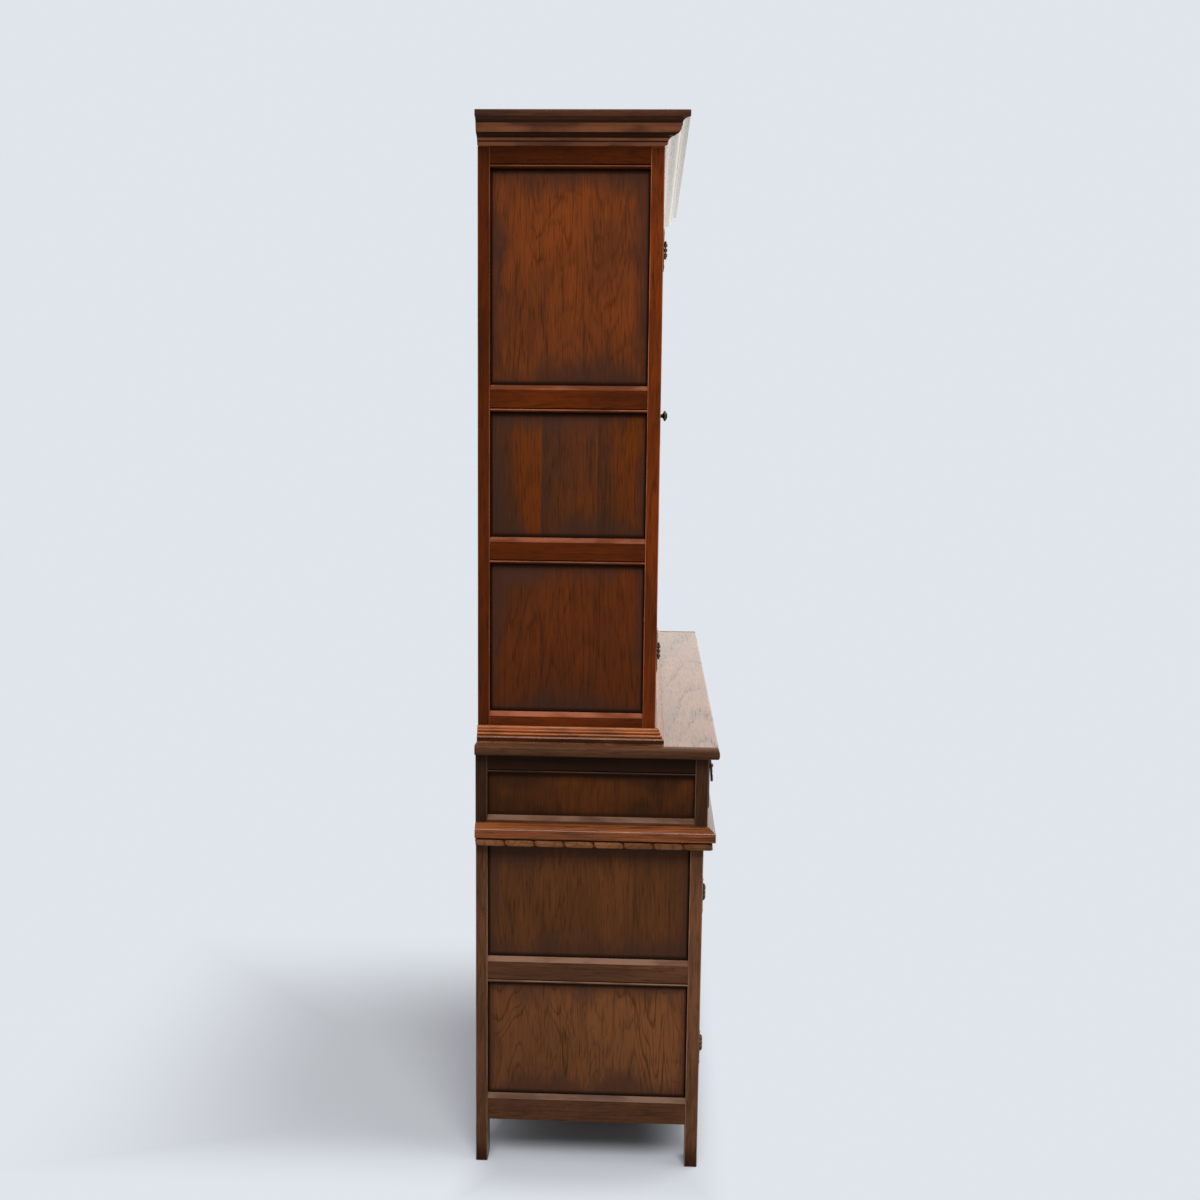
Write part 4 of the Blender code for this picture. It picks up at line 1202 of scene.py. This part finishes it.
# Brass fittings, with their outlines for turning as shares of the radius and the length
KNOB = (
    (0, 0), (0.78, 0), (0.80, 0.03), (0.74, 0.08), (0.58, 0.10), (0.56, 0.13), (0.42, 0.17), (0.34, 0.26),
    (0.33, 0.36), (0.38, 0.44), (0.52, 0.48), (0.54, 0.51), (0.50, 0.535), (0.72, 0.565), (0.93, 0.61),
    (1.0, 0.675), (0.985, 0.735), (0.90, 0.80), (0.76, 0.855), (0.70, 0.86), (0.66, 0.89), (0.48, 0.945),
    (0.25, 0.985), (0, 1.0),
)
PILLAR = (
    (0, 0), (1.25, 0), (1.25, 0.14), (0.95, 0.20), (0.62, 0.34), (0.60, 0.55), (0.85, 0.72), (0.96, 0.98),
    (0.90, 1.20), (0.66, 1.36), (0.34, 1.42), (0, 1.44),
)
HINGE_TIP = (
    (0, 0), (0.80, 0), (0.84, 0.10), (0.45, 0.20), (0.40, 0.32), (0.62, 0.48), (0.66, 0.60), (0.50, 0.74),
    (0.24, 0.86), (0.20, 0.95), (0, 1.0),
)


def make_knob(prefix, side):
    node = f"{prefix}_{side}_knob"
    piece, low, high = begun(node, "brass")
    middle = (low + high) / 2
    foot = Vector((middle.x, high.y, middle.z))
    piece.add(turned(scaled(KNOB, high.x - middle.x, high.y - low.y), foot, FORWARD, 32))
    piece.finish(BRASS, node, body=f"{prefix}_{side}_door")


def nail_tree():
    """Round nail heads on points, each sized a little differently, all facing the front."""
    sizes = (("Radius", FLOAT, NAIL_RADIUS), ("Height", FLOAT, NAIL_HEIGHT), ("Seed", WHOLE, NAIL_SEED))
    graph, given, result = begin_tree("nail_heads", sizes)
    dome = graph.wire("GeometryNodeMeshUVSphere", "Mesh", {"Segments": 10, "Rings": 6, "Radius": 1.0})
    size = graph.join(given["Radius"], given["Height"], given["Radius"])
    smooth = graph.shape("SetShadeSmooth", graph.shape("Transform", dome, {"Scale": size}), domain="FACE")
    chance = graph.node("FunctionNodeRandomValue", {"Seed": given["Seed"]}, data_type="FLOAT")
    floats = [socket for socket in chance.inputs if socket.enabled and socket.type == "VALUE"]
    for socket, limit in zip(floats, (0.88, 1.08)):
        socket.default_value = limit
    scales = [Wire(graph, socket) for socket in chance.outputs if socket.enabled]
    inputs = {"Points": given["Geometry"], "Instance": smooth, "Scale": scales[0]}
    driven = graph.wire("GeometryNodeInstanceOnPoints", "Instances", inputs)
    return end_tree(graph, result, driven, given["Finish"])


NAIL_TREE = nail_tree()
NAILS = {}


def leaf_outline(sign, axis, y, tall, wide):
    """A wing that spreads from the barrel: narrow at the knuckles, then curving out to a rounded edge."""
    waist = HINGE_BARREL / 2
    upper = [(HINGE_RADIUS * 0.3, waist * 0.95)]
    upper += scaled([(0.22, 0.80), (0.34, 0.95), (0.44, 1.5)], wide, waist)
    shares = [(0.50, 0.78), (0.58, 0.97), (0.68, 1.0), (0.80, 0.93), (0.93, 0.80), (1.0, 0.62)]
    shares += [(0.965, 0.36), (0.90, 0.15), (0.885, 0.0)]
    upper += scaled(shares, wide, tall)
    lower = [(u, -w) for u, w in reversed(upper[:-1])]
    return [(axis.x + sign * u, y, axis.z + w) for u, w in upper + lower]


def make_hinge(prefix, side, level, case):
    """A leaf on the post with the outer knuckles and pin, and a leaf on the door with the middle knuckle."""
    node = f"{prefix}_{side}_{level}_hinge"
    door_body = f"{prefix}_{side}_door"
    post, low, high = begun(node, "brass")
    door = Piece(f"{node}_door_leaf_brass")
    sign = SIDES[side]
    middle = (low + high) / 2
    axis = Vector((sign * (case.half - POST_WIDTH - DOOR_GAP / 2), low.y + HINGE_RADIUS, middle.z))
    leaf_y = case.front - FIT
    wide = sign * ((high.x if sign > 0 else low.x) - axis.x)
    tall = high.z - middle.z
    for piece, turn in ((post, sign), (door, -sign)):
        piece.add(plate(leaf_outline(turn, axis, leaf_y, tall, wide), LEAF_THICK, LEAF_EASE))
    length, soft = KNUCKLES[prefix], KNUCKLE_EASE
    knuckle = [(0, 0), (HINGE_RADIUS - soft, 0), (HINGE_RADIUS, soft), (HINGE_RADIUS, length - soft)]
    knuckle += [(HINGE_RADIUS - soft, length), (0, length)]
    for step, piece in ((-1, post), (0, door), (1, post)):
        piece.add(turned(knuckle, axis + UPWARD * (step * HINGE_PITCH - length / 2), UPWARD, 20))
    pin_end = HINGE_PITCH + length / 2
    reach = HINGE_BARREL / 2 + HINGE_FINIAL - pin_end
    pin = scaled([(0, -2), (0.42, -2), (0.42, 0), (0, 0)], HINGE_RADIUS, pin_end)
    post.add(turned(pin, axis + UPWARD * pin_end, UPWARD, 12))
    for up in (-UPWARD, UPWARD):
        post.add(turned(scaled(HINGE_TIP, HINGE_RADIUS, reach), axis + up * pin_end, up, 16))
    post.finish(BRASS, node)
    door.finish(BRASS, body=door_body)
    places = ((0.68, 0.82), (0.68, -0.82), (0.62, 0.32), (0.62, -0.32))
    for body, turn in (("carcass", sign), (door_body, -sign)):
        spots = [(axis.x + turn * u * wide, leaf_y - LEAF_THICK, axis.z + w * tall) for u, w in places]
        NAILS.setdefault(body, []).extend(spots)


def plate_outline(middle, half):
    """The wavy edge of a handle's back plate."""
    outline = []
    for step in range(PLATE_STEPS):
        turn = math.tau * step / PLATE_STEPS
        across, up = math.cos(turn), math.sin(turn)
        across_wave = 1 - 0.13 * (0.5 - 0.5 * math.cos(6 * turn))
        up_wave = 1 - 0.20 * (0.5 + 0.5 * math.cos(4 * turn + math.pi))
        u = half.x * math.copysign(abs(across) ** 0.75, across) * across_wave
        w = half.z * math.copysign(abs(up) ** 0.75, up) * up_wave
        outline.append((middle.x + u, middle.y, middle.z + w))
    return outline


def hanging_bail(middle, pivot_y):
    """A bail from ear to ear that swells at its grip."""
    arm = EAR_PLACE - EAR_WIDTH / 2 - 2 * BAIL_RADIUS
    half_path = [(EAR_PLACE, 0.0), (arm + BAIL_RADIUS, 0.0), (arm + 0.3 * BAIL_RADIUS, -0.4 * BAIL_RADIUS)]
    half_path += [(arm, -1.4 * BAIL_RADIUS)]
    for step in range(9):
        turn = math.pi / 2 * step / 8
        drop = BAIL_SPRING + (1 - BAIL_SPRING) * math.sin(turn)
        half_path.append((arm * math.cos(turn), -drop * BAIL_DROP))
    path, radii = [], []
    for u, w in [(-u, w) for u, w in half_path] + half_path[-2::-1]:
        path.append(Vector((middle.x + u, pivot_y + BAIL_LEAN * w / BAIL_DROP, middle.z + w)))
        low_share = max(0.0, -w / BAIL_DROP - BAIL_SPRING) / (1 - BAIL_SPRING)
        grip = max(0.0, 1 - abs(u) / (0.35 * arm))
        radii.append(BAIL_RADIUS * (0.82 + 0.18 * low_share + 0.28 * grip * low_share))
    return bar(path, radii)


def make_handle(side, place):
    """A shaped back plate with two turned pillars, and the bail that hangs from them."""
    body = f"{side}_drawer"
    bail_node = f"{side}_{place}_bail"
    node = f"{side}_{place}_handle_plate"
    piece, low, high = begun(node, "brass")
    half = (high - low) / 2
    middle = Vector((low.x + half.x, high.y, low.z + half.z))
    pivot_y = corners(bail_node)[1].y - BAIL_RADIUS
    piece.add(plate(plate_outline(middle, half), PLATE_THICK, PLATE_EASE))
    foot = middle + FORWARD * (PLATE_THICK / 2)
    for sign in SIDES.values():
        pillar = scaled(PILLAR, EAR_RADIUS, foot.y - pivot_y)
        piece.add(turned(pillar, foot + AXES[X] * (sign * EAR_PLACE), FORWARD, 24))
    piece.finish(BRASS, node, body=body)
    bail = Piece(f"{bail_node}_brass")
    bail.add(hanging_bail(middle, pivot_y))
    bail.finish(BRASS, bail_node, body=bail_node)
    spots = [(middle.x + u * half.x, middle.y - PLATE_THICK, middle.z) for u in (-0.93, 0.93)]
    NAILS.setdefault(body, []).extend(spots)


def make_nails():
    values = {"Radius": NAIL_RADIUS, "Height": NAIL_HEIGHT, "Seed": NAIL_SEED, "Finish": BRASS}
    for body, spots in NAILS.items():
        place_piece(f"{body}_nail_heads", grown(NAIL_TREE, spots, values), BRASS, body)


# Studio
BACKGROUND = (0.745, 0.783, 0.831, 1)
BRIGHT_WALL = (1.25, 1.20, 1.13, 1)
WORLD_LIGHT = (0.45, 0.45, 0.45, 1)
FLOOR_COLOUR = (0.40, 0.42, 0.45, 1)
FLOOR_REACH = 40.0
FAR_WALL = (6.0, 9.0)

# Where the shadow on the floor starts to fade and is gone, in metres from the middle
FADE_FAR_SIDE = (-0.15, 0.50)
FADE_NEAR_SIDE = (0.69, 0.84)
FADE_BEHIND = (0.55, 1.20)
FADE_AHEAD = (0.17, 0.26)
FADE_CORNER_SIDE = (0.55, 0.78)
FADE_CORNER_END = (0.17, 0.27)

# Soft lamps: where each one points, its strength and its spread in degrees
LAMPS = {
    "window": (Vector((-0.12, 0.60, -0.95)), 1.7, 45),
    "side_fill": (Vector((0.55, 0.05, -0.85)), 3.0, 30),
    "back_fill": (Vector((-0.60, -0.50, -0.65)), 0.35, 60),
}

# Camera: lens and sensor in millimetres, shifts in shares of the picture, turns in radians, place in metres
SENSOR_WIDTH = 36.0
LENS = 42.669
LENS_SHIFT = (0.01064, 0.00198)
CAMERA_YAW, CAMERA_TILT, CAMERA_ROLL = 0.0418, -0.13896, -0.01015
CAMERA_PLACE = (-3.18903, -0.08493, 1.43184)


def make_floor():
    """A pale floor that takes the shadow near the sideboard and meets the backdrop's colour further out."""
    bm = bmesh.new()
    bmesh.ops.create_grid(bm, x_segments=1, y_segments=1, size=FLOOR_REACH)
    mesh = bpy.data.meshes.new("studio_floor")
    bm.to_mesh(mesh)
    bm.free()
    floor = bpy.data.objects.new("studio_floor", mesh)
    bpy.context.collection.objects.link(floor)
    material, graph, shader = new_material("studio_floor")
    nodes = material.node_tree.nodes
    nodes.remove(shader)
    x, y, _ = graph.split(graph.place())
    nearer, ahead = x * -1.0, y * -1.0
    outside = nearer.ease(*FADE_CORNER_SIDE) * abs(y).ease(*FADE_CORNER_END)
    edges = ((x, FADE_FAR_SIDE), (nearer, FADE_NEAR_SIDE), (y, FADE_BEHIND), (ahead, FADE_AHEAD))
    for distance, fade in edges:
        outside = graph.larger(outside, distance.ease(*fade))
    far_wall = x.ease(*FAR_WALL) * graph.wire("ShaderNodeLightPath", "Is Glossy Ray")
    matte = graph.wire("ShaderNodeBsdfDiffuse", 0, {"Color": FLOOR_COLOUR})
    glow = graph.wire("ShaderNodeEmission", 0, {"Color": graph.mix(far_wall, BACKGROUND, BRIGHT_WALL)})
    blend = graph.wire("ShaderNodeMixShader", 0, {0: outside, 1: matte, 2: glow})
    graph.fill(nodes["Material Output"], {"Surface": blend})
    mesh.materials.append(material)


def make_light():
    """The backdrop that the camera and the panes see, a bright wall and ceiling in reflections, and lamps."""
    world = bpy.data.worlds.new("studio")
    bpy.context.scene.world = world
    world.use_nodes = True
    graph = Graph(world.node_tree)
    paths = {path.name: Wire(graph, path) for path in graph.node("ShaderNodeLightPath").outputs}
    x, _, z = graph.split(graph.place("Generated"))
    wall = x.ease(0.5, 0.85) * z.ease(-0.20, -0.02)
    lit = graph.larger(wall, z.ease(0.55, 0.9, 0.0, 0.8))
    mirrored = graph.mix(lit, BACKGROUND, BRIGHT_WALL)
    colour = graph.mix(paths["Is Glossy Ray"], WORLD_LIGHT, mirrored)
    seen = graph.larger(paths["Is Camera Ray"], paths["Is Transmission Ray"])
    graph.fill(world.node_tree.nodes["Background"], {"Color": graph.mix(seen, colour, BACKGROUND)})
    for name, (towards, strength, spread) in LAMPS.items():
        sun = bpy.data.lights.new(name, "SUN")
        sun.energy = strength
        sun.angle = math.radians(spread)
        lamp = bpy.data.objects.new(name, sun)
        lamp.rotation_mode = "QUATERNION"
        lamp.rotation_quaternion = towards.to_track_quat("-Z", "Y")
        bpy.context.collection.objects.link(lamp)


def make_camera():
    """The photograph's view: square on to the left end, a little above the middle."""
    camera = bpy.data.cameras.new("camera")
    camera.sensor_width = SENSOR_WIDTH
    camera.lens = LENS
    camera.shift_x, camera.shift_y = LENS_SHIFT
    swing = Quaternion(UPWARD, CAMERA_YAW)
    ahead, right = swing @ AXES[X], swing @ FORWARD
    nod = Quaternion(right, CAMERA_TILT)
    ahead, up = nod @ ahead, nod @ UPWARD
    lean = Quaternion(ahead, CAMERA_ROLL)
    right, up = lean @ right, lean @ up
    obj = bpy.data.objects.new("camera", camera)
    turn = Matrix((right, up, -ahead)).transposed().to_4x4()
    obj.matrix_world = Matrix.Translation(CAMERA_PLACE) @ turn
    bpy.context.collection.objects.link(obj)
    bpy.context.scene.camera = obj


def main():
    make_face_frame("base", BASE, FOOT_CLEARANCE, MUNTIN_WIDTH)
    make_face_frame("upper", UPPER, UPPER.bottom, None)
    for side in SIDES:
        make_end("base", side, BASE, FOOT_CLEARANCE, ("lower", "upper"))
        make_end("upper", side, UPPER, UPPER.bottom, ("lower", "middle", "upper"))
        for prefix, name in PANELS:
            make_panel(prefix, side, name)
        make_drawer(side)
        make_door("base", side)
        make_door("upper", side)
        make_door_panel(side)
        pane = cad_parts[f"upper_{side}_door_glass"]
        pane.material_slots[0].material = GLASS
        for prefix, case in (("base", BASE), ("upper", UPPER)):
            make_knob(prefix, side)
            for level in ("lower", "upper"):
                make_hinge(prefix, side, level, case)
        for place in ("outer", "inner"):
            make_handle(side, place)
    make_nails()
    make_back("base_back_panel", 8)
    make_back("upper_back_panel", 8)
    make_shelf("base_floor", 3)
    make_shelf("cupboard_shelf", 3)
    for name in ("display_floor", "lower_display_shelf", "upper_display_shelf"):
        make_shelf(name, 2)
    make_drawer_case()
    make_waist()
    make_top()
    make_plinth()
    make_cornice()
    make_floor()
    make_light()
    make_camera()
    bpy.context.scene.view_settings.view_transform = "Standard"


main()
